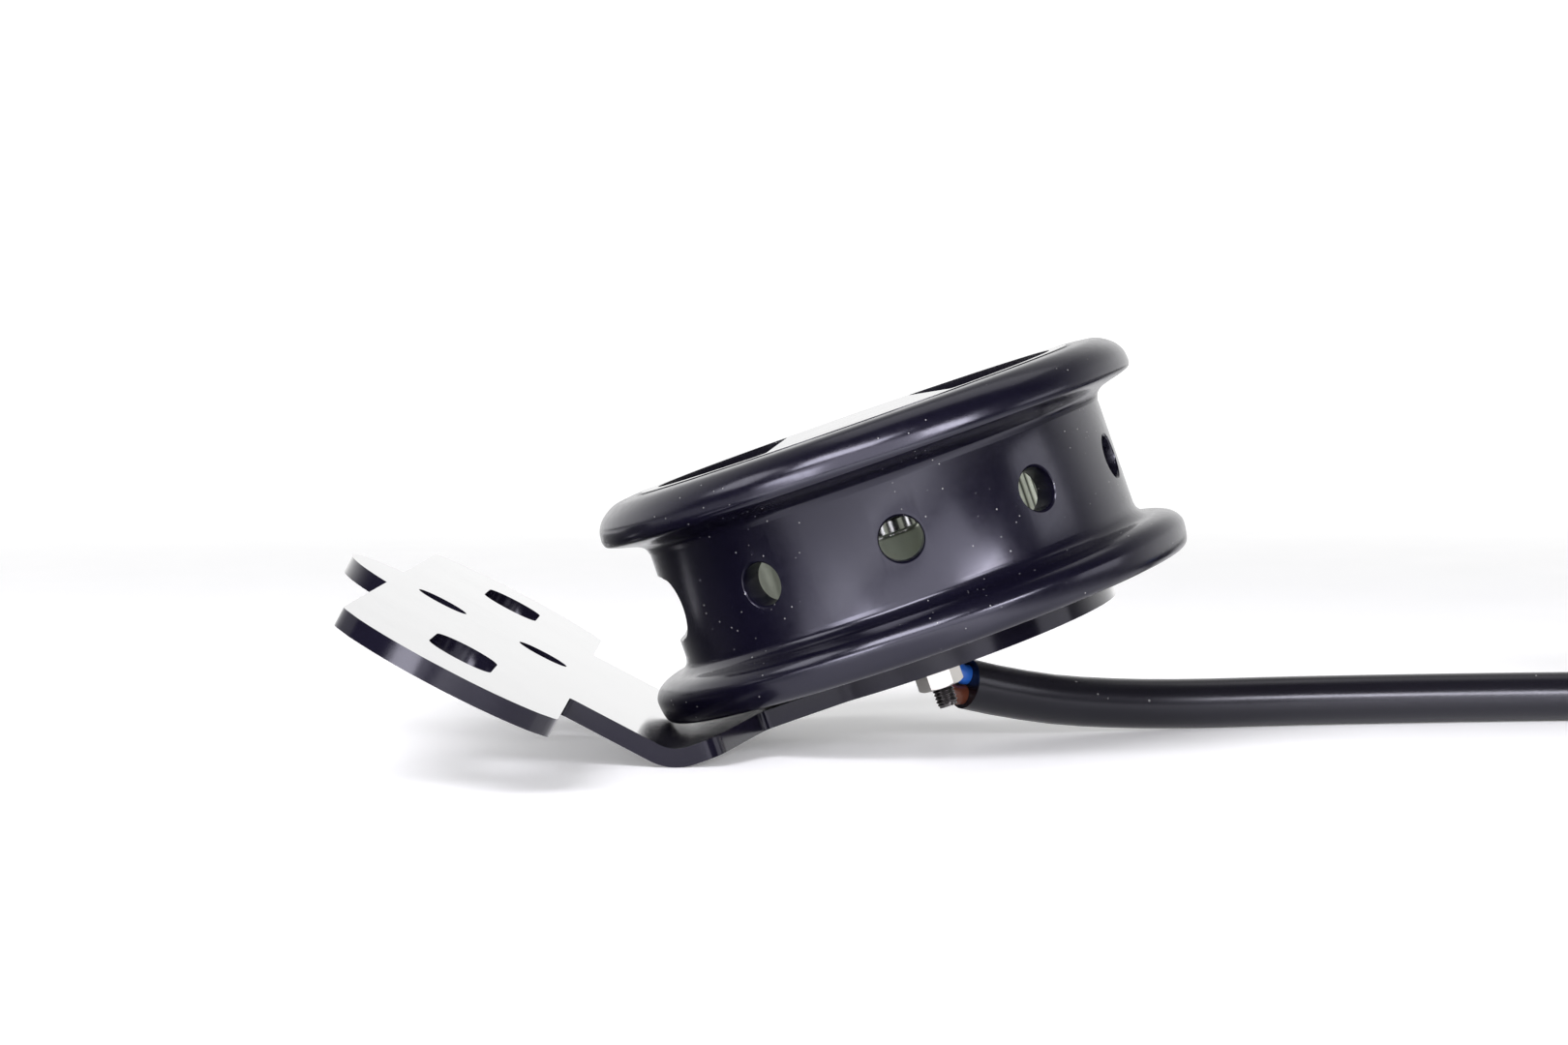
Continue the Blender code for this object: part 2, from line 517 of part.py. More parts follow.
top = LIFT + hgt + GAP
A_END = radians(225.0)
tube("lead_end", [Vector(p) * MM for p in on_coil(COIL_MEAN, top + R, A_END - radians(42), A_END, 6)], LEAD_D, RUBBER, 3)
for tag, dr, colour in (("blue", 1.9, (0.03, 0.16, 0.75)), ("brown", -1.9, (0.16, 0.05, 0.02))):
    r = COIL_MEAN + dr
    zc = top + R
    a0 = A_END + 0.3 / r
    route = on_coil(COIL_MEAN + dr * 0.78, zc - 0.2, a0, a0 + 2.0 / r, 1) + on_coil(r, top + CORE_D / 2, a0 + 11.0 / r, a0 + 22.0 / r, 3)
    tube("tail_" + tag, smooth_route(route, 3.0), CORE_D, dict(colour=colour, roughness=0.35, metallic=0.0), 2)
    a1 = a0 + 22.3 / r
    p = Vector(on_coil(r, top + CORE_D / 2, a1, a1 + 1, 1)[0])
    pin = turned("pin_" + tag, [(0, 9.0), (0.7, 9.0), (0.8, 8.8), (0.8, 2.4), (1.4, 2.0), (1.4, 0.0), (0, 0.0)], None, STEEL,
                 steps=16, closed=False)
    pin.location = p * MM
    pin.rotation_euler = Vector((-sin(a1), cos(a1), 0)).to_track_quat("Z", "Y").to_euler()
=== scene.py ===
import random
from math import sin, cos, pi, radians, sqrt, acos, atan2, hypot, tan

import bpy
import bmesh
from mathutils import Vector, Matrix


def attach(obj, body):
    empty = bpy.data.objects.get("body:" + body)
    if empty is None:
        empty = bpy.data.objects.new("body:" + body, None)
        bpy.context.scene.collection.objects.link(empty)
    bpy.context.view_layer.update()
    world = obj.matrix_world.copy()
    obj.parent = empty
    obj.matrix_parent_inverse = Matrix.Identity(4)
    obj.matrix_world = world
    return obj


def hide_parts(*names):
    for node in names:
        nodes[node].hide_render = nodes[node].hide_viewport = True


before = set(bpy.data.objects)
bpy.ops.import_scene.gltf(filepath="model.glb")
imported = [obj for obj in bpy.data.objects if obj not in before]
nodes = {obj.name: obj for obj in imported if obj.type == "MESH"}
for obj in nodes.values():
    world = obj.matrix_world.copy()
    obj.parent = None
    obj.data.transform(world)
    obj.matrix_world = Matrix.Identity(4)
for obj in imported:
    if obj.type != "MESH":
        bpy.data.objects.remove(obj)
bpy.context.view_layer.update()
MM = 0.001
random.seed(7)

# ------------------------------------------------------------------ the part's own numbers (mm)
TILT = radians(19.0)
SEAT_X, SEAT_Z = 23.295, 14.3219824
SHEET = 2.5
SEAT_R, NECK_HALF, ARM_HALF, ARM_START = 26.9, 23.2, 35.7, 25.4
BEND_START, BEND_R, BEND_ANGLE = 35.48, 5.0, radians(47.08)
ARM_LEN, PLATE_LEN, PLATE_HALF, PLATE_BULGE = 13.18, 29.8, 66.0, 7.5
TAB_HALF, TAB_BULGE = 12.3, 6.8
SLOT_L, SLOT_W, SLOT_Y, HOLE_D = 19.8, 8.8, 47.3, 7.5
STUD_X, STUD_Y = 1.05, 20.0
FLANGE_R, WAIST_R, BORE_R = 39.25, 33.4, 29.6
PORT_D, PORT_H, PORT_STEP = 6.0, 16.5, radians(36.0)
SIDE_SLOT_L, SIDE_SLOT_W, SIDE_SLOT_H = 24.0, 8.2, 16.2
BRIDGE_R, BRIDGE_RIM, BRIDGE_TOP = 31.7, 29.2, 32.9
BRIDGE_HALF_FRONT, BRIDGE_HALF_REAR = 13.5, 9.3
ROTOR_R, CUPS, CUP_R, CUP_WALL, CUP_AT = 26.0, 6, 5.3, 0.9, 19.6
CUP_BOTTOM, CUP_TOP = 11.9, 23.5
LEAD_D, CORE_D = 7.2, 2.8
COIL_MEAN = 40.0
LIFT = 1.2

AXIS = Matrix.Translation(Vector((SEAT_X, 0, SEAT_Z)) * MM) @ Matrix.Rotation(-TILT, 4, "Y")


def in_frame(x, y, h):
    return Vector((SEAT_X + x * cos(TILT) - h * sin(TILT), y, SEAT_Z + x * sin(TILT) + h * cos(TILT)))


# ------------------------------------------------------------------ camera
cam_data = bpy.data.cameras.new("camera")
cam = bpy.data.objects.new("camera", cam_data)
bpy.context.scene.collection.objects.link(cam)
bpy.context.scene.camera = cam
F_PX, CAM, PITCH, YAW, ROLL = 3656.5, (-2.34, -500.0, 51.468), 0.04138, 0.01020, -0.0042
cam_data.sensor_width = 36.0
cam_data.lens = F_PX / 1620 * 36.0
cam_data.clip_start, cam_data.clip_end = 0.01, 20.0
fwd = Vector((sin(YAW) * cos(PITCH), cos(YAW) * cos(PITCH), -sin(PITCH)))
right = Vector((cos(YAW), -sin(YAW), 0.0))
up = right.cross(fwd)
rot = Matrix((right, up, -fwd)).transposed().to_4x4()
cam.matrix_world = Matrix.Translation(Vector(CAM) * MM) @ rot @ Matrix.Rotation(ROLL, 4, "Z")


# ------------------------------------------------------------------ node helpers
def new_material(name):
    m = bpy.data.materials.new(name)
    m.use_nodes = True
    nt = m.node_tree
    return m, nt, nt.nodes["Principled BSDF"]


def add(nt, kind, **inputs):
    n = nt.nodes.new(kind)
    for k, v in inputs.items():
        if k in n.inputs:
            n.inputs[k].default_value = v
        else:
            setattr(n, k, v)
    return n


def noise(nt, scale, detail=4.0, rough=0.55, vector=None, stretch=None):
    tc = nt.nodes.new("ShaderNodeTexCoord")
    src = tc.outputs["Object"] if vector is None else vector
    if stretch:
        mp = nt.nodes.new("ShaderNodeMapping")
        mp.inputs["Scale"].default_value = stretch
        nt.links.new(src, mp.inputs["Vector"])
        src = mp.outputs["Vector"]
    n = nt.nodes.new("ShaderNodeTexNoise")
    n.inputs["Scale"].default_value = scale
    n.inputs["Detail"].default_value = detail
    n.inputs["Roughness"].default_value = rough
    nt.links.new(src, n.inputs["Vector"])
    return n


def ramp(nt, fac, stops):
    r = nt.nodes.new("ShaderNodeValToRGB")
    e = r.color_ramp.elements
    while len(e) < len(stops):
        e.new(0.5)
    for el, (p, c) in zip(e, stops):
        el.position = p
        el.color = (*c, 1.0) if len(c) == 3 else c
    nt.links.new(fac, r.inputs["Fac"])
    return r


def maprange(nt, value, lo, hi, a, b):
    m = nt.nodes.new("ShaderNodeMapRange")
    m.inputs["From Min"].default_value = lo
    m.inputs["From Max"].default_value = hi
    m.inputs["To Min"].default_value = a
    m.inputs["To Max"].default_value = b
    nt.links.new(value, m.inputs["Value"])
    return m.outputs["Result"]


def bump(nt, bsdf, height, strength, distance, normal=None):
    b = nt.nodes.new("ShaderNodeBump")
    b.inputs["Strength"].default_value = strength
    b.inputs["Distance"].default_value = distance
    nt.links.new(height, b.inputs["Height"])
    if normal is not None:
        nt.links.new(normal, b.inputs["Normal"])
    nt.links.new(b.outputs["Normal"], bsdf.inputs["Normal"])
    return b.outputs["Normal"]


def mixc(nt, fac, a, b):
    m = nt.nodes.new("ShaderNodeMix")
    m.data_type = "RGBA"
    for sock, v in ((m.inputs[0], fac), (m.inputs[6], a), (m.inputs[7], b)):
        if isinstance(v, tuple):
            sock.default_value = (*v, 1.0)
        elif isinstance(v, float):
            sock.default_value = v
        else:
            nt.links.new(v, sock)
    return m.outputs[2]


def math_node(nt, op, a, b=None):
    m = nt.nodes.new("ShaderNodeMath")
    m.operation = op
    for i, v in ((0, a), (1, b)):
        if v is None:
            continue
        if isinstance(v, (int, float)):
            m.inputs[i].default_value = v
        else:
            nt.links.new(v, m.inputs[i])
    return m.outputs[0]


def specks(nt, scale, size, share, patch_scale, patch_lo, patch_hi):
    """Small dust grains: 1 on a grain, 0 between them; denser in patches."""
    tc = nt.nodes.new("ShaderNodeTexCoord")
    v = nt.nodes.new("ShaderNodeTexVoronoi")
    v.inputs["Scale"].default_value = scale
    v.inputs["Randomness"].default_value = 1.0
    nt.links.new(tc.outputs["Object"], v.inputs["Vector"])
    near = maprange(nt, v.outputs["Distance"], size * 0.6, size, 1.0, 0.0)
    sep = nt.nodes.new("ShaderNodeSeparateColor")
    nt.links.new(v.outputs["Color"], sep.inputs["Color"])
    patch = noise(nt, patch_scale, 3.0, 0.6)
    limit = maprange(nt, patch.outputs["Fac"], patch_lo, patch_hi, 1.0, 1.0 - share)
    picked = math_node(nt, "GREATER_THAN", sep.outputs["Red"], limit)
    return math_node(nt, "MULTIPLY", near, picked)


def anodised(name, base, rough, tint, coat=0.0, speck_share=0.25, grain=1.0, dull_edges_and_shade=False):
    m, nt, b = new_material(name)
    n1 = noise(nt, 900.0, 6.0, 0.6)
    n2 = noise(nt, 60.0, 4.0, 0.55)
    dust = specks(nt, 1500.0, 0.15, speck_share, 60.0, 0.46, 0.70)
    dark = mixc(nt, n2.outputs["Fac"], tuple(c * 0.85 for c in base), tuple(c * 1.25 for c in base))
    col = mixc(nt, dust, dark, (0.33, 0.33, 0.31))
    nt.links.new(col, b.inputs["Base Color"])
    r = maprange(nt, n2.outputs["Fac"], 0.3, 0.7, rough * 0.88, rough * 1.14)
    r = math_node(nt, "ADD", r, maprange(nt, n1.outputs["Fac"], 0.3, 0.7, -0.03 * grain, 0.03 * grain))
    r2 = math_node(nt, "ADD", r, math_node(nt, "MULTIPLY", dust, 0.4))
    nt.links.new(r2, b.inputs["Roughness"])
    b.inputs["Metallic"].default_value = 0.0
    b.inputs["IOR"].default_value = 1.50
    b.inputs["Specular Tint"].default_value = (*tint, 1.0)
    b.inputs["Coat Weight"].default_value = coat
    b.inputs["Coat Roughness"].default_value = 0.12
    if dull_edges_and_shade:
        # cut edges turned along ±Y get a thinner, duller coat and less reflection than the faces: partly the coating's
        # real finish, partly painted shade on the edges that face the camera
        tc = nt.nodes.new("ShaderNodeTexCoord")
        sp = nt.nodes.new("ShaderNodeSeparateXYZ")
        nt.links.new(tc.outputs["Normal"], sp.inputs[0])
        edge = maprange(nt, math_node(nt, "ABSOLUTE", sp.outputs["Y"]), 0.25, 0.7, 0.0, 1.0)
        nt.links.new(maprange(nt, edge, 0.0, 1.0, coat, 0.0), b.inputs["Coat Weight"])
        nt.links.new(maprange(nt, edge, 0.0, 1.0, 0.5, 0.28), b.inputs["Specular IOR Level"])
    h = math_node(nt, "ADD", math_node(nt, "MULTIPLY", n1.outputs["Fac"], 0.35), math_node(nt, "MULTIPLY", dust, 1.2))
    bump(nt, b, h, 0.18, 0.00005)
    return m


def metal(name, base, rough, scratch=(1, 1, 1), variation=0.18):
    m, nt, b = new_material(name)
    n1 = noise(nt, 700.0, 6.0, 0.65, stretch=scratch)
    n2 = noise(nt, 120.0, 3.0, 0.5)
    col = mixc(nt, n2.outputs["Fac"], tuple(c * (1 - variation) for c in base), tuple(min(1, c * (1 + variation)) for c in base))
    nt.links.new(col, b.inputs["Base Color"])
    b.inputs["Metallic"].default_value = 1.0
    nt.links.new(maprange(nt, n1.outputs["Fac"], 0.3, 0.7, rough * 0.8, rough * 1.3), b.inputs["Roughness"])
    bump(nt, b, n1.outputs["Fac"], 0.12, 0.00004)
    return m


def plastic(name, base, rough, spec_tint=(1, 1, 1), scale=500.0, variation=0.15, bump_h=0.00005, coat=0.0):
    m, nt, b = new_material(name)
    n1 = noise(nt, scale, 5.0, 0.6)
    n2 = noise(nt, 80.0, 3.0, 0.5)
    col = mixc(nt, n2.outputs["Fac"], tuple(c * (1 - variation) for c in base), tuple(min(1, c * (1 + variation)) for c in base))
    nt.links.new(col, b.inputs["Base Color"])
    nt.links.new(maprange(nt, n1.outputs["Fac"], 0.3, 0.7, rough * 0.88, rough * 1.15), b.inputs["Roughness"])
    b.inputs["Specular Tint"].default_value = (*spec_tint, 1.0)
    b.inputs["Coat Weight"].default_value = coat
    bump(nt, b, n1.outputs["Fac"], 0.2, bump_h)
    return m



def vane_painted_glow_material():
    """Pale plastic with painted light: the rib crests glow and are painted pale, the inner face glows less, and the
    colour between the ribs is painted dark, standing in for light inside the housing.
    """
    m, nt, b = new_material("rotor_vane_painted_glow")
    tc = nt.nodes.new("ShaderNodeTexCoord")
    sep = nt.nodes.new("ShaderNodeSeparateXYZ")
    nt.links.new(tc.outputs["Object"], sep.inputs[0])
    rr = math_node(nt, "SQRT", math_node(nt, "ADD", math_node(nt, "MULTIPLY", sep.outputs["X"], sep.outputs["X"]),
                                         math_node(nt, "MULTIPLY", sep.outputs["Y"], sep.outputs["Y"])))
    crest = maprange(nt, rr, 0.00502, 0.00526, 0.0, 1.0)
    inner = maprange(nt, rr, 0.00445, 0.00470, 1.0, 0.0)
    n1 = noise(nt, 260.0, 4.0, 0.6, stretch=(1.0, 1.0, 0.25))
    n2 = noise(nt, 900.0, 4.0, 0.6)
    # painted light: emission on the rib crests and the inner face, plus a faint glow everywhere, so the vanes glow
    # though no lamp reaches them
    glow = math_node(nt, "ADD", math_node(nt, "MULTIPLY", crest, 0.34), math_node(nt, "MULTIPLY", inner, 0.16))
    glow = math_node(nt, "ADD", glow, 0.035)
    glow = math_node(nt, "MULTIPLY", glow, maprange(nt, n1.outputs["Fac"], 0.35, 0.65, 0.45, 1.35))
    # painted highlight on the rib crests and painted shade between the ribs
    nt.links.new(mixc(nt, crest, (0.16, 0.17, 0.15), (0.72, 0.74, 0.66)), b.inputs["Base Color"])
    b.inputs["Emission Color"].default_value = (0.95, 1.0, 0.86, 1.0)
    nt.links.new(glow, b.inputs["Emission Strength"])
    nt.links.new(maprange(nt, n2.outputs["Fac"], 0.3, 0.7, 0.24, 0.36), b.inputs["Roughness"])
    bump(nt, b, n2.outputs["Fac"], 0.2, 0.00004)
    return m


M = {
    "housing": anodised("anodised_black", (0.0026, 0.0022, 0.0066), 0.22, (0.86, 0.85, 1.0), coat=0.08),
    "bridge": anodised("anodised_black_bridge", (0.0060, 0.0055, 0.0090), 0.18, (0.95, 0.95, 1.0), coat=0.6),
    "bracket": anodised("coated_black", (0.0046, 0.0040, 0.0090), 0.14, (0.93, 0.92, 1.0), coat=0.9, dull_edges_and_shade=True, speck_share=0.05, grain=0.4),
    "zinc": metal("zinc_steel", (0.50, 0.48, 0.46), 0.20),
    "dark_steel": metal("dark_steel", (0.10, 0.095, 0.095), 0.20),
    "steel": metal("bearing_steel", (0.62, 0.62, 0.62), 0.18),
    "alu": metal("bare_aluminium", (0.58, 0.59, 0.60), 0.32),
    "gasket": plastic("gasket_rubber", (0.010, 0.010, 0.011), 0.6, scale=1500.0),
    "pale": plastic("rotor_pale", (0.62, 0.66, 0.58), 0.30, variation=0.10, coat=0.3),
    "vane": vane_painted_glow_material(),
    "board": plastic("circuit_board", (0.02, 0.14, 0.06), 0.40),
    "glass": plastic("switch_glass", (0.30, 0.40, 0.36), 0.12),
    "magnet": metal("magnet_dark", (0.10, 0.10, 0.11), 0.5),
    "blue": plastic("core_blue", (0.020, 0.130, 0.560), 0.30, variation=0.12),
    "brown": plastic("core_brown", (0.095, 0.026, 0.012), 0.35, variation=0.12),
    "tie": plastic("tie_nylon", (0.016, 0.016, 0.017), 0.5),
}


def jacket_material():
    m, nt, b = new_material("lead_black")
    n1 = noise(nt, 1300.0, 5.0, 0.6)
    n2 = noise(nt, 55.0, 3.0, 0.5, stretch=(0.35, 1.0, 1.0))
    dust = specks(nt, 650.0, 0.14, 0.10, 30.0, 0.45, 0.65)
    dark = mixc(nt, n2.outputs["Fac"], (0.0040, 0.0036, 0.0060), (0.0085, 0.0080, 0.0115))
    nt.links.new(mixc(nt, dust, dark, (0.16, 0.16, 0.155)), b.inputs["Base Color"])
    nt.links.new(maprange(nt, n2.outputs["Fac"], 0.3, 0.7, 0.20, 0.30), b.inputs["Roughness"])
    b.inputs["Specular Tint"].default_value = (0.92, 0.92, 1.0, 1.0)
    h = math_node(nt, "ADD", math_node(nt, "MULTIPLY", n1.outputs["Fac"], 0.12), n2.outputs["Fac"])
    bump(nt, b, h, 0.35, 0.00025)
    return m


M["lead"] = jacket_material()

# ------------------------------------------------------------------ shape helpers
look = bpy.data.collections.new("looks")
bpy.context.scene.collection.children.link(look)


def arc(cx, cy, r, a0, a1, n):
    return [(cx + r * cos(a0 + (a1 - a0) * k / n), cy + r * sin(a0 + (a1 - a0) * k / n)) for k in range(n + 1)]


def bow(p, q, bulge, n):
    dx, dy = q[0] - p[0], q[1] - p[1]
    c = hypot(dx, dy)
    r = (c * c / 4 + bulge * bulge) / (2 * bulge)
    half = acos((r - bulge) / r)
    ux, uy = dx / c, dy / c
    nx, ny = -uy, ux
    mx, my = (p[0] + q[0]) / 2 - nx * (r - bulge), (p[1] + q[1]) / 2 - ny * (r - bulge)
    out = []
    for k in range(n + 1):
        t = -half + 2 * half * k / n
        out.append((mx + r * (cos(t) * nx + sin(t) * ux), my + r * (cos(t) * ny + sin(t) * uy)))
    return out


def rounded(points, n=6):
    out = []
    m = len(points)
    for i, (x, y, r) in enumerate(points):
        if r <= 0:
            out.append((x, y))
            continue
        p = Vector((points[i - 1][0] - x, points[i - 1][1] - y)).normalized()
        q = Vector((points[(i + 1) % m][0] - x, points[(i + 1) % m][1] - y)).normalized()
        half = acos(max(-1, min(1, p.dot(q)))) / 2
        d = r / abs(tan(half))
        c = Vector((x, y)) + (p + q).normalized() * (r / sin(half))
        a = Vector((x, y)) + p * d - c
        b = Vector((x, y)) + q * d - c
        a0, a1 = atan2(a.y, a.x), atan2(b.y, b.x)
        while a1 - a0 > pi:
            a1 -= 2 * pi
        while a1 - a0 < -pi:
            a1 += 2 * pi
        out += arc(c.x, c.y, r, a0, a1, n)
    return out


def obround(cx, cy, length, width, n=16):
    h, r = (length - width) / 2, width / 2
    pts = arc(0, h, r, 0, pi, n) + arc(0, -h, r, pi, 2 * pi, n)
    return [(cx + x, cy + y) for x, y in pts]


def put(name, me, mat, body, world=None):
    ob = bpy.data.objects.new(name, me)
    look.objects.link(ob)
    if world is not None:
        ob.matrix_world = world
    if mat is not None:
        ob.data.materials.clear()
        ob.data.materials.append(mat)
    if body:
        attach(ob, body)
    return ob


def smooth(me, angle=30.0):
    me.shade_smooth()
    me.set_sharp_from_angle(angle=radians(angle))


def spin_mesh(name, profile, steps, closed=True, angle=30.0):
    """Turned mesh of (radius, height) in mm, running down its outer side."""
    me = bpy.data.meshes.new(name)
    bm = bmesh.new()
    rings = []
    for r, h in profile:
        if r < 1e-6:
            rings.append([bm.verts.new((0, 0, h * MM))])
        else:
            rings.append([bm.verts.new((r * MM * cos(2 * pi * k / steps), r * MM * sin(2 * pi * k / steps), h * MM)) for k in range(steps)])
    pairs = list(zip(rings, rings[1:])) + ([(rings[-1], rings[0])] if closed else [])
    for a, b in pairs:
        for k in range(steps):
            k2 = (k + 1) % steps
            if len(a) == 1 and len(b) == 1:
                continue
            if len(a) == 1:
                bm.faces.new((a[0], b[k], b[k2]))
            elif len(b) == 1:
                bm.faces.new((a[k], b[0], a[k2]))
            else:
                bm.faces.new((a[k], b[k], b[k2], a[k2]))
    bmesh.ops.recalc_face_normals(bm, faces=bm.faces)
    bm.to_mesh(me)
    bm.free()
    smooth(me, angle)
    return me


def curve_plate_mesh(name, loops, z0, z1, edge=0.3, res=3):
    """Flat outline with softly rounded edges, as a mesh."""
    cu = bpy.data.curves.new(name, "CURVE")
    cu.dimensions = "2D"
    cu.fill_mode = "BOTH"
    cu.extrude = ((z1 - z0) / 2 - edge) * MM
    cu.bevel_depth = edge * MM
    cu.bevel_resolution = res
    cu.offset = -edge * MM
    for loop in loops:
        sp = cu.splines.new("POLY")
        sp.points.add(len(loop) - 1)
        for p, (x, y) in zip(sp.points, loop):
            p.co = (x * MM, y * MM, 0.0, 1.0)
        sp.use_cyclic_u = True
    ob = bpy.data.objects.new(name, cu)
    bpy.context.scene.collection.objects.link(ob)
    bpy.context.view_layer.update()
    deps = bpy.context.evaluated_depsgraph_get()
    me = bpy.data.meshes.new_from_object(ob.evaluated_get(deps))
    bpy.data.objects.remove(ob, do_unlink=True)
    bpy.data.curves.remove(cu)
    me.transform(Matrix.Translation((0, 0, (z0 + z1) / 2 * MM)))
    bm = bmesh.new()
    bm.from_mesh(me)
    bmesh.ops.remove_doubles(bm, verts=bm.verts, dist=1e-6)
    bmesh.ops.recalc_face_normals(bm, faces=bm.faces)
    bm.to_mesh(me)
    bm.free()
    me.name = name
    return me


def boolean(me, cutter_meshes, operation="DIFFERENCE"):
    """Applies cutters, given as (mesh, matrix), to a mesh and returns the result."""
    ob = bpy.data.objects.new("work", me)
    bpy.context.scene.collection.objects.link(ob)
    made = []
    for cm, mat in cutter_meshes:
        c = bpy.data.objects.new("cutter", cm)
        bpy.context.scene.collection.objects.link(c)
        c.matrix_world = mat
        made.append(c)
        m = ob.modifiers.new("b", "BOOLEAN")
        m.operation = operation
        m.solver = "EXACT"
        m.object = c
    bpy.context.view_layer.update()
    deps = bpy.context.evaluated_depsgraph_get()
    out = bpy.data.meshes.new_from_object(ob.evaluated_get(deps))
    bpy.data.objects.remove(ob, do_unlink=True)
    for c in made:
        bpy.data.objects.remove(c, do_unlink=True)
    return out


def smooth_profile(points, sharp, n=6):
    """Catmull-Rom points between the profile's points, straight at its sharp corners."""
    out = []
    N = len(points)
    for i in range(N):
        p1, p2 = points[i], points[(i + 1) % N]
        if i in sharp and (i + 1) % N in sharp:
            out.append(p1)
            continue
        p0 = points[i - 1] if i not in sharp else (2 * p1[0] - p2[0], 2 * p1[1] - p2[1])
        p3 = points[(i + 2) % N] if (i + 1) % N not in sharp else (2 * p2[0] - p1[0], 2 * p2[1] - p1[1])
        for k in range(n):
            t = k / n
            out.append(tuple(0.5 * ((2 * b) + (c - a) * t + (2 * a - 5 * b + 4 * c - d) * t * t + (3 * b - a - 3 * c + d) * t ** 3)
                             for a, b, c, d in zip(p0, p1, p2, p3)))
    return out


def tube_curve(name, points, diameter, mat, body, resolution=8, caps=True):
    cu = bpy.data.curves.new(name, "CURVE")
    cu.dimensions = "3D"
    cu.bevel_depth = diameter / 2 * MM
    cu.bevel_resolution = resolution
    cu.use_fill_caps = caps
    sp = cu.splines.new("POLY")
    sp.points.add(len(points) - 1)
    for p, co in zip(sp.points, points):
        p.co = (*(Vector(co) * MM), 1.0)
    sp.use_smooth = True
    ob = bpy.data.objects.new(name, cu)
    look.objects.link(ob)
    cu.materials.append(mat)
    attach(ob, body)
    return ob


def smooth_route(points, spacing):
    P = [Vector(p) for p in points]
    P = [P[0] * 2 - P[1]] + P + [P[-1] * 2 - P[-2]]
    fine = []
    for i in range(1, len(P) - 2):
        p0, p1, p2, p3 = P[i - 1:i + 3]
        for k in range(24):
            t = k / 24
            fine.append(0.5 * ((2 * p1) + (p2 - p0) * t + (2 * p0 - 5 * p1 + 4 * p2 - p3) * t * t
                               + (3 * p1 - p0 - 3 * p2 + p3) * t ** 3))
    fine.append(P[-2])
    length = sum((b - a).length for a, b in zip(fine, fine[1:]))
    n = max(2, round(length / spacing))
    out, want, run = [fine[0]], length / n, 0.0
    for a, b in zip(fine, fine[1:]):
        step = (b - a).length
        while run + step >= want - 1e-9 and len(out) < n:
            out.append(a.lerp(b, (want - run) / step))
            want += length / n
        run += step
    out.append(fine[-1])
    return out


BODY, ROTOR = "sensor_body", "rotor"

# ------------------------------------------------------------------ the lead, its coil and its far end
R = LEAD_D / 2
COIL_X, COIL_Y = SEAT_X + 166.0, 22.0 + COIL_MEAN + LEAD_D
jacket_route = [
    (SEAT_X + 4.9, -1.8, 7.95), (SEAT_X + 9.0, 0.6, 6.85), (SEAT_X + 17.5, 4.9, 5.1), (SEAT_X + 27.0, 8.8, 4.1),
    (SEAT_X + 38.0, 12.6, R + 0.02), (SEAT_X + 55.0, 16.6, R), (SEAT_X + 75.0, 19.6, R), (SEAT_X + 95.0, 21.4, R),
    (SEAT_X + 118.0, 22.0, R), (COIL_X - 27.0, 22.0, R),
]
lay = smooth_route(jacket_route, 5.0)
layers = [R + LIFT, R + LIFT + LEAD_D * 0.995]
coil_top = LIFT + 2 * LEAD_D + 0.3
pts = list(lay)
# into the bottom layer's outer turn, inwards for three turns, up, outwards again, then on top
r_out, r_mid, r_in = COIL_MEAN + LEAD_D, COIL_MEAN, COIL_MEAN - LEAD_D
STEP = 2 * pi / 28


def ramp01(t):
    t = max(0.0, min(1.0, t))
    return t * t * (3 - 2 * t)


a = -pi / 2 - 0.42
turns = []
A_END = radians(225.0) - 2 * pi      # where the jacket ends, seen from the coil's centre
sweep1 = 3 * 2 * pi - 0.0
total = 0.0
# radius and height against swept angle; each change of turn takes 50 degrees
def turn_at(s):
    """s counts turns from the coil's first point."""
    steps = [(0, r_out, layers[0]), (1, r_mid, layers[0]), (2, r_in, layers[0]),
             (3, r_in, layers[1]), (4, r_mid, layers[1]), (5, r_out, layers[1])]
    k = min(int(s), 5)
    f = s - k
    r0, z0 = steps[k][1:]
    if k == 5:
        # past the tie the last turn climbs onto the coil, to the stripped end
        t = ramp01((s - 5.50) / 0.22)
        return r0 + (COIL_MEAN - r0) * t, z0 + (coil_top + R - z0) * t
    if k < 5:
        r1, z1 = steps[k + 1][1:]
        span = 0.22
        t = ramp01((f - (1 - span)) / span)
        return r0 + (r1 - r0) * t, z0 + (z1 - z0) * t
    return r0, z0


A0 = -pi / 2 + 0.10
end_turn = None
s = 0.0
# the far end stops at A_END on top of the coil
full = 6 + ((radians(225.0) - (A0 + 0.0)) / (2 * pi)) % 1.0
full = full if full < 6.45 else full - 1.0
n_pts = int(full * 28)
for k in range(n_pts + 1):
    s = full * k / n_pts
    ang = A0 + 2 * pi * s
    r, z = turn_at(s)
    pts.append(Vector((COIL_X + r * cos(ang), COIL_Y + r * sin(ang), z)))
print("coil turns", full)
# the lay runs straight into the coil's first turn; points closer than 1.2 mm to the last one kept are dropped
fine = pts
lead_points = [fine[0]]
for p in fine[1:]:
    if (p - lead_points[-1]).length > 1.2:
        lead_points.append(p)
lead = tube_curve("lead", lead_points, LEAD_D, M["lead"], BODY, 9)
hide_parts("lead_jacket", "lead_coil", "lead_end")

for n, mat in (("tail_blue", "blue"), ("tail_brown", "brown"), ("pin_blue", "zinc"), ("pin_brown", "zinc"), ("coil_tie", "tie")):
    nodes[n].data.materials.clear()
    nodes[n].data.materials.append(M[mat])

# ------------------------------------------------------------------ solid helpers for the hard parts


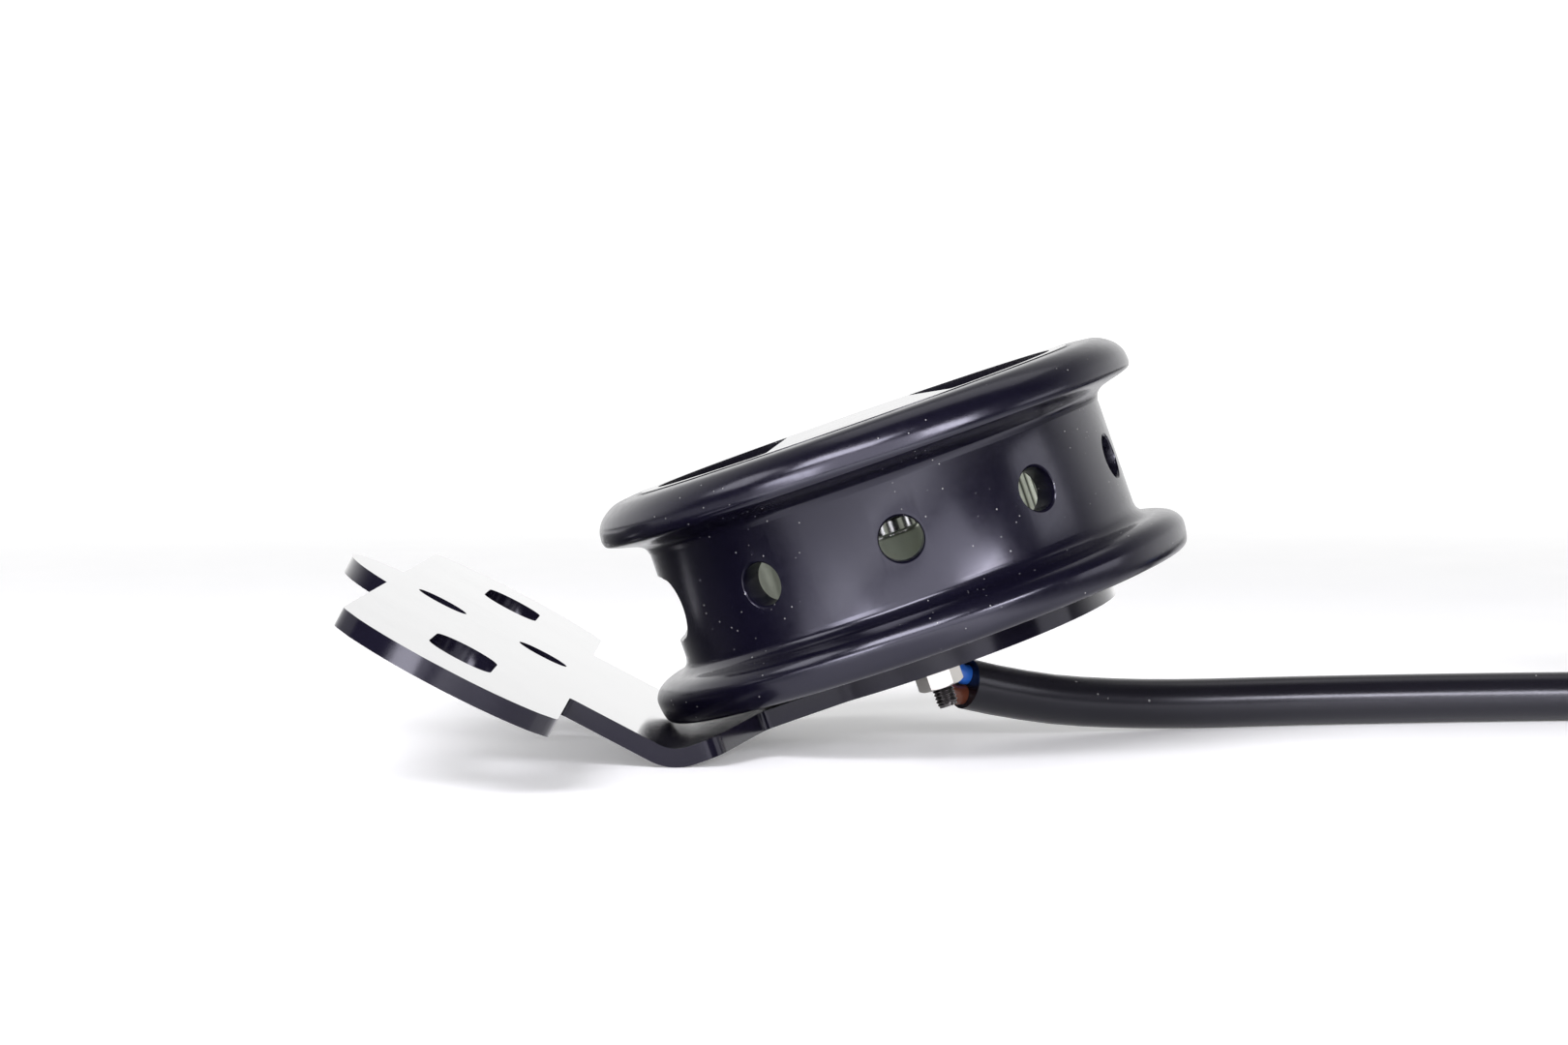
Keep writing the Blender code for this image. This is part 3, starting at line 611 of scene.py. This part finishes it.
def revolve(bm, profile, steps, matrix):
    """Adds a turned closed skin (profile from axis to axis) to a bmesh."""
    rings = []
    for r, h in profile:
        if r < 1e-6:
            rings.append([bm.verts.new(matrix @ Vector((0, 0, h * MM)))])
        else:
            rings.append([bm.verts.new(matrix @ Vector((r * MM * cos(2 * pi * k / steps), r * MM * sin(2 * pi * k / steps), h * MM)))
                          for k in range(steps)])
    made = []
    for a, b in zip(rings, rings[1:]):
        for k in range(steps):
            k2 = (k + 1) % steps
            if len(a) == 1:
                made.append(bm.faces.new((a[0], b[k], b[k2])))
            elif len(b) == 1:
                made.append(bm.faces.new((a[k], b[0], a[k2])))
            else:
                made.append(bm.faces.new((a[k], b[k], b[k2], a[k2])))
    bmesh.ops.recalc_face_normals(bm, faces=made)


def extruded(name, loops, z0, z1):
    cu = bpy.data.curves.new(name, "CURVE")
    cu.dimensions = "2D"
    cu.fill_mode = "BOTH"
    cu.extrude = (z1 - z0) / 2 * MM
    for loop in loops:
        sp = cu.splines.new("POLY")
        sp.points.add(len(loop) - 1)
        for p, (x, y) in zip(sp.points, loop):
            p.co = (x * MM, y * MM, 0.0, 1.0)
        sp.use_cyclic_u = True
    ob = bpy.data.objects.new(name, cu)
    bpy.context.scene.collection.objects.link(ob)
    bpy.context.view_layer.update()
    me = bpy.data.meshes.new_from_object(ob.evaluated_get(bpy.context.evaluated_depsgraph_get()))
    bpy.data.objects.remove(ob, do_unlink=True)
    bpy.data.curves.remove(cu)
    me.transform(Matrix.Translation((0, 0, (z0 + z1) / 2 * MM)))
    bm = bmesh.new()
    bm.from_mesh(me)
    bmesh.ops.remove_doubles(bm, verts=bm.verts, dist=1e-6)
    bmesh.ops.recalc_face_normals(bm, faces=bm.faces)
    bm.to_mesh(me)
    bm.free()
    me.name = name
    return me


def soften(me, width, segments=3, angle=40.0):
    """Rounds a mesh's sharp edges and returns the new mesh."""
    ob = bpy.data.objects.new("work", me)
    bpy.context.scene.collection.objects.link(ob)
    b = ob.modifiers.new("edge", "BEVEL")
    b.width = width * MM
    b.segments = segments
    b.limit_method = "ANGLE"
    b.angle_limit = radians(angle)
    b.harden_normals = False
    bpy.context.view_layer.update()
    out = bpy.data.meshes.new_from_object(ob.evaluated_get(bpy.context.evaluated_depsgraph_get()))
    bpy.data.objects.remove(ob, do_unlink=True)
    smooth(out, angle)
    return out


def weighted(me):
    """Large flat faces keep flat shading right up to their rounded edges."""
    ob = bpy.data.objects.new("work", me)
    bpy.context.scene.collection.objects.link(ob)
    w = ob.modifiers.new("normals", "WEIGHTED_NORMAL")
    w.mode = "FACE_AREA"
    w.weight = 100
    w.keep_sharp = True
    bpy.context.view_layer.update()
    out = bpy.data.meshes.new_from_object(ob.evaluated_get(bpy.context.evaluated_depsgraph_get()))
    bpy.data.objects.remove(ob, do_unlink=True)
    return out


def joined(name, meshes):
    bm = bmesh.new()
    for m in meshes:
        bm.from_mesh(m)
    me = bpy.data.meshes.new(name)
    bm.to_mesh(me)
    bm.free()
    return me


# ------------------------------------------------------------------ guard housing
profile = [
    (33.84, 32.8), (36.0, 32.45), (37.9, 31.3), (38.95, 29.9), (FLANGE_R, 28.5),
    (39.2, 27.7), (38.8, 27.15), (37.6, 26.7), (36.1, 26.3), (34.7, 25.85),
    (33.8, 25.2), (WAIST_R, 24.2), (WAIST_R, 8.9), (33.7, 7.9), (34.8, 7.0), (36.6, 6.65),
    (38.1, 6.0), (39.0, 5.0), (FLANGE_R, 3.9), (38.9, 1.8), (38.2, 1.0), (37.2, 0.9),
    (27.4, 0.9), (27.1, 1.2), (5.0, 1.2), (5.0, 5.0), (BORE_R, 5.0),
    (BORE_R, 29.7), (32.0, 29.7), (32.0, 31.9), (32.7, 32.65),
]
dense = smooth_profile(profile, {0, 11, 12} | set(range(21, 31)), 5)
house = spin_mesh("housing", dense, 240, True, 32)
bm = bmesh.new()
port_cut = [(0, 26.5), (PORT_D / 2, 26.5), (PORT_D / 2, 32.95), (PORT_D / 2 + 0.06, 33.12), (PORT_D / 2 + 0.22, 33.3),
            (PORT_D / 2 + 0.55, 33.6), (PORT_D / 2 + 1.2, 36.0), (0, 36.0)]
for k in range(-1, 7):
    a = k * PORT_STEP
    d = Vector((sin(a), -cos(a), 0))
    mtx = Matrix.Translation((0, 0, PORT_H * MM)) @ d.to_track_quat("Z", "Y").to_matrix().to_4x4()
    revolve(bm, port_cut, 48, mtx)
loops = []
for rho, grow in ((27.0, 0.0), (32.95, 0.0), (33.15, 0.06), (33.36, 0.25), (33.7, 0.6), (36.0, 1.2)):
    o = obround(0, 0, SIDE_SLOT_L + 2 * grow, SIDE_SLOT_W + 2 * grow, 14)
    loops.append([bm.verts.new(Vector((-sqrt(rho * rho - y * y), y, SIDE_SLOT_H + x)) * MM) for x, y in o])
made = []
for a, b in zip(loops, loops[1:]):
    n = len(a)
    for k in range(n):
        made.append(bm.faces.new((a[k], b[k], b[(k + 1) % n], a[(k + 1) % n])))
for loop in (loops[0], loops[-1]):
    n = len(loop)
    # a strip across the obround's two sides
    half_n = n // 2
    for k in range(half_n - 1):
        made.append(bm.faces.new((loop[k], loop[k + 1], loop[n - 2 - k], loop[n - 1 - k])))
bmesh.ops.recalc_face_normals(bm, faces=made)
for sgn in (-1, 1):
    revolve(bm, [(0, -1), (1.8, -1), (1.8, 4.6), (0, 4.6)], 32, Matrix.Translation((sgn * STUD_X * MM, sgn * STUD_Y * MM, 0)))
cut_me = bpy.data.meshes.new("housing_cuts")
bm.to_mesh(cut_me)
bm.free()
house = boolean(house, [(cut_me, Matrix.Identity(4))])
smooth(house, 32)
housing = put("housing", house, M["housing"], BODY, AXIS)
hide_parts("guard_housing")

# ------------------------------------------------------------------ bearing bridge
def half(y):
    t = (y + BRIDGE_RIM) / (2 * BRIDGE_RIM)
    return BRIDGE_HALF_FRONT + (BRIDGE_HALF_REAR - BRIDGE_HALF_FRONT) * t


windows = []
for sign in (1, -1):
    y0 = 25.4
    a0 = atan2(-sqrt(BRIDGE_RIM ** 2 - half(-y0) ** 2), half(-y0))
    a1 = atan2(sqrt(BRIDGE_RIM ** 2 - half(y0) ** 2), half(y0))
    rim = arc(0, 0, BRIDGE_RIM, a0 + 0.05, a1 - 0.05, 90)
    yf, yr = rim[0][1] + 1.6, rim[-1][1] - 1.6
    loop = rim + [(half(yr) + 0.35, rim[-1][1] - 0.5), (half(yr), yr), (half(yf), yf), (half(yf) + 0.35, rim[0][1] + 0.5)]
    windows.append([(sign * x, y) for x, y in loop])
plate_me = soften(extruded("bridge", [arc(0, 0, BRIDGE_R, 0, 2 * pi, 240)[:-1]] + windows, 30.0, BRIDGE_TOP), 0.35, 3)
boss_me = spin_mesh("boss", [(6.5, 30.3), (6.5, 26.6), (6.2, 26.2), (4.6, 26.2), (4.3, 26.5), (4.3, 30.3)], 96, True)
bridge_me = joined("bridge", [plate_me, boss_me])
smooth(bridge_me, 35)
bridge = put("bridge", weighted(bridge_me), M["bridge"], BODY, AXIS)
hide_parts("bearing_bridge")

# ------------------------------------------------------------------ mounting bracket
BEND_END = BEND_START + BEND_R * BEND_ANGLE
U1 = BEND_END + ARM_LEN
U2 = U1 + PLATE_LEN
UM = (U1 + U2) / 2
ang_end = -pi + atan2(NECK_HALF + 0.35, sqrt(SEAT_R ** 2 - (NECK_HALF + 0.35) ** 2))
front = list(arc(0, 0, SEAT_R, 0, ang_end, 110))
front += [(-13.9, -NECK_HALF - 0.1), (-14.8, -NECK_HALF), (-ARM_START + 0.9, -NECK_HALF), (-ARM_START + 0.4, -NECK_HALF - 0.1),
          (-ARM_START, -NECK_HALF - 0.35), (-ARM_START - 0.33, -NECK_HALF - 0.68), (-ARM_START - 0.6, -NECK_HALF - 1.1)]
front += [(-30.7, -ARM_HALF + 2.75), (-31.0, -ARM_HALF + 2.2), (-31.35, -ARM_HALF + 1.55), (-31.8, -ARM_HALF + 1.0),
          (-32.35, -ARM_HALF + 0.55), (-33.0, -ARM_HALF + 0.25), (-33.7, -ARM_HALF + 0.07), (-34.4, -ARM_HALF)]
front += [(-U1 + 0.8, -ARM_HALF), (-U1 + 0.2, -ARM_HALF - 0.2), (-U1, -ARM_HALF - 0.8)]
end = bow((-U1, -PLATE_HALF), (-U2, -PLATE_HALF), PLATE_BULGE, 48)
front += [(-U1, -PLATE_HALF + 1.4), (-U1 - 0.08, -PLATE_HALF + 0.8), (-U1 - 0.28, -PLATE_HALF + 0.25), (-U1 - 0.63, -PLATE_HALF - 0.4), (-U1 - 1.1, -PLATE_HALF - 1.0)] + end[5:-5]
front += [(-U2 + 1.1, -PLATE_HALF - 1.0), (-U2 + 0.63, -PLATE_HALF - 0.4), (-U2 + 0.28, -PLATE_HALF + 0.25), (-U2 + 0.08, -PLATE_HALF + 0.8), (-U2, -PLATE_HALF + 1.4)]
front += [(-U2, -TAB_HALF - 0.5)]
tab = bow((-U2, -TAB_HALF), (-U2, TAB_HALF), TAB_BULGE, 48)
front += [p for p in tab if p[1] < -1e-6]
outline = front + [(-U2 - TAB_BULGE, 0.0)] + [(x, -y) for x, y in reversed(front)][:-1]
holes = [obround(-UM + 0.2, s * SLOT_Y, SLOT_L, SLOT_W, 20) for s in (-1, 1)]
holes += [arc(-UM + 0.6 + s * 8.0, 0, HOLE_D / 2, 0, 2 * pi, 56)[:-1] for s in (-1, 1)]
holes += [arc(s * STUD_X, s * STUD_Y, 1.8, 0, 2 * pi, 32)[:-1] for s in (-1, 1)]
holes += [arc(0, 0, 4.5, 0, 2 * pi, 48)[:-1]]
flat = extruded("bracket", [outline] + holes, -SHEET, 0.0)
bm = bmesh.new()
bm.from_mesh(flat)
N_BEND = 16
for k in range(N_BEND + 1):
    u = -(BEND_START + BEND_R * BEND_ANGLE * k / N_BEND) * MM
    bmesh.ops.bisect_plane(bm, geom=bm.verts[:] + bm.edges[:] + bm.faces[:], dist=1e-7, plane_co=(u, 0, 0), plane_no=(1, 0, 0))
for v in bm.verts:
    q, t = -v.co.x / MM, v.co.z / MM
    if q > BEND_START - 1e-6:
        r = BEND_R - t
        a = min((q - BEND_START) / BEND_R, BEND_ANGLE)
        rest = max(0.0, q - BEND_END)
        v.co.x = (-BEND_START - r * sin(a) - rest * cos(a)) * MM
        v.co.z = (BEND_R - r * cos(a) + rest * sin(a)) * MM
bmesh.ops.recalc_face_normals(bm, faces=bm.faces)
bm.to_mesh(flat)
bm.free()
bracket_me = weighted(soften(flat, 0.32, 3, 40))
bracket_me.transform(AXIS)
bracket = put("bracket", bracket_me, M["bracket"], BODY)
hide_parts("mounting_bracket")

# ------------------------------------------------------------------ gasket, studs, nuts, grommet
gasket = put("gasket", spin_mesh("gasket", [(25.5, 0.9), (25.6, 0.6), (25.5, 0.3), (8.0, 0.3), (8.0, 0.9)], 160), M["gasket"], BODY, AXIS)
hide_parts("base_gasket")


def stud_mesh(name):
    me = bpy.data.meshes.new(name)
    bm = bmesh.new()
    steps = 48
    rows = []
    hs = [4.3, 4.1] + [4.0 - 0.0625 * k for k in range(int((4.0 + 7.45) / 0.0625) + 1)] + [-7.6, -7.85]
    for h in hs:
        row = []
        for k in range(steps):
            th = 2 * pi * k / steps
            tri = abs(((h / 0.5 + k / steps) % 1.0) * 2 - 1)
            r = 1.5 - 0.27 * tri
            if h > 4.05 or h < -7.55:
                r = min(r, 1.25)
            row.append(bm.verts.new((r * MM * cos(th), r * MM * sin(th), h * MM)))
        rows.append(row)
    for a, b in zip(rows, rows[1:]):
        for k in range(steps):
            bm.faces.new((a[k], b[k], b[(k + 1) % steps], a[(k + 1) % steps]))
    bm.faces.new(rows[0])
    bm.faces.new(rows[-1])
    bmesh.ops.recalc_face_normals(bm, faces=bm.faces)
    bm.to_mesh(me)
    bm.free()
    smooth(me, 50)
    return me


def nut_mesh(name):
    hexagon = [(5.5 / sqrt(3) * cos(radians(60 * k)), 5.5 / sqrt(3) * sin(radians(60 * k))) for k in range(6)]
    me = extruded(name, [hexagon], -5.1, -2.55)
    bm = bmesh.new()
    revolve(bm, [(0, -2.55), (2.72, -2.55), (3.3, -2.85), (3.3, -4.76), (2.72, -5.1), (0, -5.1)], 64, Matrix.Identity(4))
    tool = bpy.data.meshes.new("nut_chamfer")
    bm.to_mesh(tool)
    bm.free()
    me = boolean(me, [(tool, Matrix.Identity(4))], "INTERSECT")
    bm = bmesh.new()
    revolve(bm, [(0, -2), (1.56, -2), (1.56, -4.8), (1.95, -5.2), (1.95, -6), (0, -6)], 48, Matrix.Identity(4))
    tool = bpy.data.meshes.new("nut_bore")
    bm.to_mesh(tool)
    bm.free()
    me = boolean(me, [(tool, Matrix.Identity(4))])
    return weighted(soften(me, 0.07, 2, 25))


for tag, sgn in (("front", -1), ("rear", 1)):
    place = AXIS @ Matrix.Translation((sgn * STUD_X * MM, sgn * STUD_Y * MM, 0))
    st = put("stud_thread_" + tag, stud_mesh("stud_" + tag), M["dark_steel"], BODY, place)
    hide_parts("stud_" + tag)
    nu = put("hex_" + tag, nut_mesh("hex_" + tag), M["zinc"], BODY, place)
    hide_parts("nut_" + tag)

grommet = put("grommet", spin_mesh("grommet", smooth_profile([(4.2, -0.2), (4.2, -2.8), (5.9, -2.8), (5.9, -3.1), (5.6, -3.4), (3.9, -3.4), (3.7, -3.2), (3.7, -0.2)],
              {0, 1, 2, 6, 7}, 5), 96), M["gasket"], BODY, AXIS)
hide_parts("lead_grommet")

# ------------------------------------------------------------------ the two cores between body and jacket
lead_dir = (lay[1] - lay[0]).normalized()
lead_side = Vector((0, 0, 1)).cross(lead_dir).normalized()
lead_up = lead_dir.cross(lead_side)
mouth = Vector(jacket_route[0])
for tag, sx, upw in (("blue", 1.45, 1.35), ("brown", -1.5, -1.55)):
    e = mouth + lead_up * upw + lead_dir * 0.6
    bend = e - lead_dir * (2.0 if tag == "blue" else 3.2)
    a = in_frame(sx, -0.2, 0.2)
    b = in_frame(sx, -0.4, -2.6)
    c = tube_curve("core_look_" + tag, smooth_route([a, b, bend, e], 0.5), CORE_D, M[tag], BODY, 6)
    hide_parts("core_" + tag)

# ------------------------------------------------------------------ rotor
def rotor_piece(name, me, mat, node):
    ob = put(name, me, mat, ROTOR, AXIS)
    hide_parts(node)
    return ob


rotor_piece("shaft", spin_mesh("shaft", [(0.001, 29.9), (1.2, 29.9), (1.5, 29.6), (1.5, 6.7), (1.2, 6.4), (0.001, 6.4)], 64), M["steel"], "rotor_shaft")
rotor_piece("disc", spin_mesh("disc", [(4.2, 15.5), (4.4, 15.42), (4.5, 15.2), (4.8, 12.2), (5.1, 11.75), (5.6, 11.6), (25.7, 11.6), (25.92, 11.52), (26.0, 11.3),
                                       (26.0, 10.8), (25.8, 10.6), (1.8, 10.6), (1.8, 15.5)], 160), M["pale"], "rotor_disc")
rotor_piece("ring", spin_mesh("ring", [(25.7, 24.8), (25.92, 24.72), (26.0, 24.5), (26.0, 24.0), (25.8, 23.8), (13.2, 23.8), (13.0, 24.0), (13.0, 24.6), (13.2, 24.8)], 160),
            M["pale"], "rotor_ring")
rotor_piece("collar", spin_mesh("collar", [(3.7, 18.0), (4.0, 17.7), (4.0, 16.1), (3.7, 15.8), (1.8, 15.8), (1.8, 18.0)], 64), M["steel"], "shaft_collar")
for k in range(CUPS):
    outer = []
    N = 18 * 8
    for i in range(N + 1):
        t = -pi / 2 + pi * i / N
        g = abs(((i / N) * 18) % 1.0 - 0.5) * 2
        rr = CUP_R - 0.34 * max(0.0, g - 0.30) / 0.70
        outer.append((rr * cos(t), rr * sin(t)))
    inner = arc(0, 0, CUP_R - CUP_WALL, pi / 2, -pi / 2, 48)
    me = extruded("cup_look", [[(-x, y) for x, y in outer + inner]], CUP_BOTTOM, CUP_TOP)
    smooth(me, 30)
    a = 2 * pi * (k + 0.25) / CUPS
    ob = put("vane_%d" % (k + 1), me, M["vane"], ROTOR,
             AXIS @ Matrix.Translation((CUP_AT * cos(a) * MM, CUP_AT * sin(a) * MM, 0)) @ Matrix.Rotation(a + pi / 2, 4, "Z"))
    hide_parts("cup_%d" % (k + 1))

for n, mat in (("sensor_board", "board"), ("reed_switch", "glass"), ("bearing_post", "alu"), ("lower_bearing_outer", "steel"), ("upper_bearing_outer", "steel"),
               ("lower_bearing_inner", "steel"), ("upper_bearing_inner", "steel"), ("pulse_magnet", "magnet")):
    nodes[n].data.materials.clear()
    nodes[n].data.materials.append(M[mat])

# ------------------------------------------------------------------ table, light
def floor_material():
    """White table top that runs out into the white of the studio, with painted light and shade on it: a lit wedge, a
    painted pool of light in front of the object, and dark floor around them.
    """
    m, nt, b = new_material("table_white")
    out = nt.nodes["Material Output"]
    n1 = noise(nt, 40.0, 4.0, 0.5)
    n2 = noise(nt, 900.0, 3.0, 0.5)
    n3 = noise(nt, 220.0, 4.0, 0.6, stretch=(0.15, 1.0, 1.0))
    nt.links.new(ramp(nt, n1.outputs["Fac"], [(0.3, (0.90, 0.90, 0.895)), (0.7, (0.93, 0.93, 0.925))]).outputs["Color"], b.inputs["Base Color"])
    nt.links.new(maprange(nt, n1.outputs["Fac"], 0.3, 0.7, 0.34, 0.42), b.inputs["Roughness"])
    bump(nt, b, math_node(nt, "ADD", n2.outputs["Fac"], n3.outputs["Fac"]), 0.12, 0.00004)
    b.inputs["IOR"].default_value = 1.30
    b.inputs["Emission Color"].default_value = (1.0, 1.0, 1.0, 1.0)
    tc = nt.nodes.new("ShaderNodeTexCoord")
    ln = nt.nodes.new("ShaderNodeVectorMath")
    ln.operation = "LENGTH"
    nt.links.new(tc.outputs["Object"], ln.inputs[0])
    far = maprange(nt, ln.outputs["Value"], 0.35, 0.8, 0.0, 1.0)
    sep = nt.nodes.new("ShaderNodeSeparateXYZ")
    nt.links.new(tc.outputs["Object"], sep.inputs[0])
    # painted light and shade: the floor is lit only inside a wedge that widens to the back; beside it and in front of
    # it the floor is painted dark, standing in for the dim studio
    reach = math_node(nt, "MAXIMUM", math_node(nt, "ADD", sep.outputs["Y"], 0.5), 0.02)
    ratio = math_node(nt, "DIVIDE", math_node(nt, "ABSOLUTE", sep.outputs["X"]), reach)
    wedge = maprange(nt, ratio, 0.27, 0.50, 1.0, PAINTED_SHADE_LEVEL)
    nearer = maprange(nt, sep.outputs["Y"], -0.40, -0.26, PAINTED_SHADE_LEVEL, 1.0)
    painted_light_mask = math_node(nt, "MINIMUM", wedge, nearer)
    # painted pool of light: extra glow on the floor in front of the object, where the key light falls
    gap = nt.nodes.new("ShaderNodeVectorMath")
    gap.operation = "DISTANCE"
    gap.inputs[1].default_value = (0.01, 0.0, 0.0)
    nt.links.new(tc.outputs["Object"], gap.inputs[0])
    painted_light_pool = math_node(nt, "MULTIPLY", maprange(nt, gap.outputs["Value"], 0.09, 0.19, 0.0, 1.6), maprange(nt, sep.outputs["Y"], -0.10, -0.02, 1.0, 0.0))
    nt.links.new(math_node(nt, "MULTIPLY", painted_light_mask, math_node(nt, "ADD", painted_light_pool, FLOOR_GLOW)), b.inputs["Emission Strength"])
    # painted shade: dark base colour outside the lit wedge
    tone = mixc(nt, painted_light_mask, (0.10, 0.10, 0.11), (0.91, 0.91, 0.905))
    nt.links.new(tone, b.inputs["Base Color"])
    # the far floor glows white, but only inside the painted lit wedge
    glow = nt.nodes.new("ShaderNodeEmission")
    nt.links.new(math_node(nt, "MULTIPLY", painted_light_mask, 1.08), glow.inputs["Strength"])
    mix = nt.nodes.new("ShaderNodeMixShader")
    nt.links.new(far, mix.inputs["Fac"])
    nt.links.new(b.outputs["BSDF"], mix.inputs[1])
    nt.links.new(glow.outputs["Emission"], mix.inputs[2])
    nt.links.new(mix.outputs["Shader"], out.inputs["Surface"])
    return m


FLOOR_GLOW = 0.16
# level of the painted shade beside and in front of the lit wedge
PAINTED_SHADE_LEVEL = 0.20
fm = bpy.data.meshes.new("table")
bm = bmesh.new()
bmesh.ops.create_grid(bm, x_segments=24, y_segments=24, size=6.0)
bm.to_mesh(fm)
bm.free()
floor = bpy.data.objects.new("table", fm)
look.objects.link(floor)
floor.location = (0, 0, -0.00002)
fm.materials.append(floor_material())


def softbox(name, direction, distance, size, power, colour=(1, 1, 1), target=(0.02, 0, 0.03)):
    l = bpy.data.lights.new(name, "AREA")
    l.shape = "RECTANGLE"
    l.size, l.size_y = size
    l.energy = power
    l.color = colour
    ob = bpy.data.objects.new(name, l)
    look.objects.link(ob)
    d = Vector(direction).normalized()
    t = Vector(target)
    ob.location = t + d * distance
    ob.rotation_euler = (-d).to_track_quat("-Z", "Y").to_euler()
    return ob


softbox("top_box", (0.0, 0.35, 1.0), 1.1, (0.9, 0.5), 1.0)
softbox("front_box", (-0.06, -0.93, 0.22), 1.0, (1.50, 0.50), 7.5, (0.94, 0.93, 1.0))
softbox("key_left", (-0.58, -0.80, 0.10), 1.0, (0.42, 0.20), 3.0, (0.93, 0.92, 1.0))
softbox("key_right", (0.46, -0.84, 0.36), 1.0, (0.40, 0.13), 3.6, (0.95, 0.94, 1.0))
softbox("key_high", (-0.36, -0.66, 0.66), 1.0, (0.62, 0.30), 9.0, (0.95, 0.94, 1.0))
softbox("right_box", (0.95, -0.22, 0.24), 1.0, (0.45, 0.30), 0.9, (0.96, 0.96, 1.0))
softbox("left_box", (-0.80, -0.15, 0.58), 1.0, (0.35, 0.35), 1.6, (0.98, 0.98, 1.0))

world = bpy.data.worlds.new("studio")
bpy.context.scene.world = world
world.use_nodes = True
wt = world.node_tree
bg = wt.nodes["Background"]
tc = wt.nodes.new("ShaderNodeTexCoord")
sx = wt.nodes.new("ShaderNodeSeparateXYZ")
wt.links.new(tc.outputs["Generated"], sx.inputs[0])
back = maprange(wt, sx.outputs["Y"], -0.05, 0.45, 0.0, 1.0)
high = maprange(wt, sx.outputs["Z"], 0.25, 0.75, 1.0, 0.25)
st = math_node(wt, "ADD", math_node(wt, "MULTIPLY", math_node(wt, "MULTIPLY", back, high), 1.12), 0.055)
bg.inputs["Color"].default_value = (1.0, 1.0, 1.0, 1.0)
wt.links.new(st, bg.inputs["Strength"])

sc = bpy.context.scene
sc.view_settings.view_transform = "Standard"
sc.view_settings.look = "None"
sc.view_settings.exposure = 0.0
sc.view_settings.gamma = 1.0
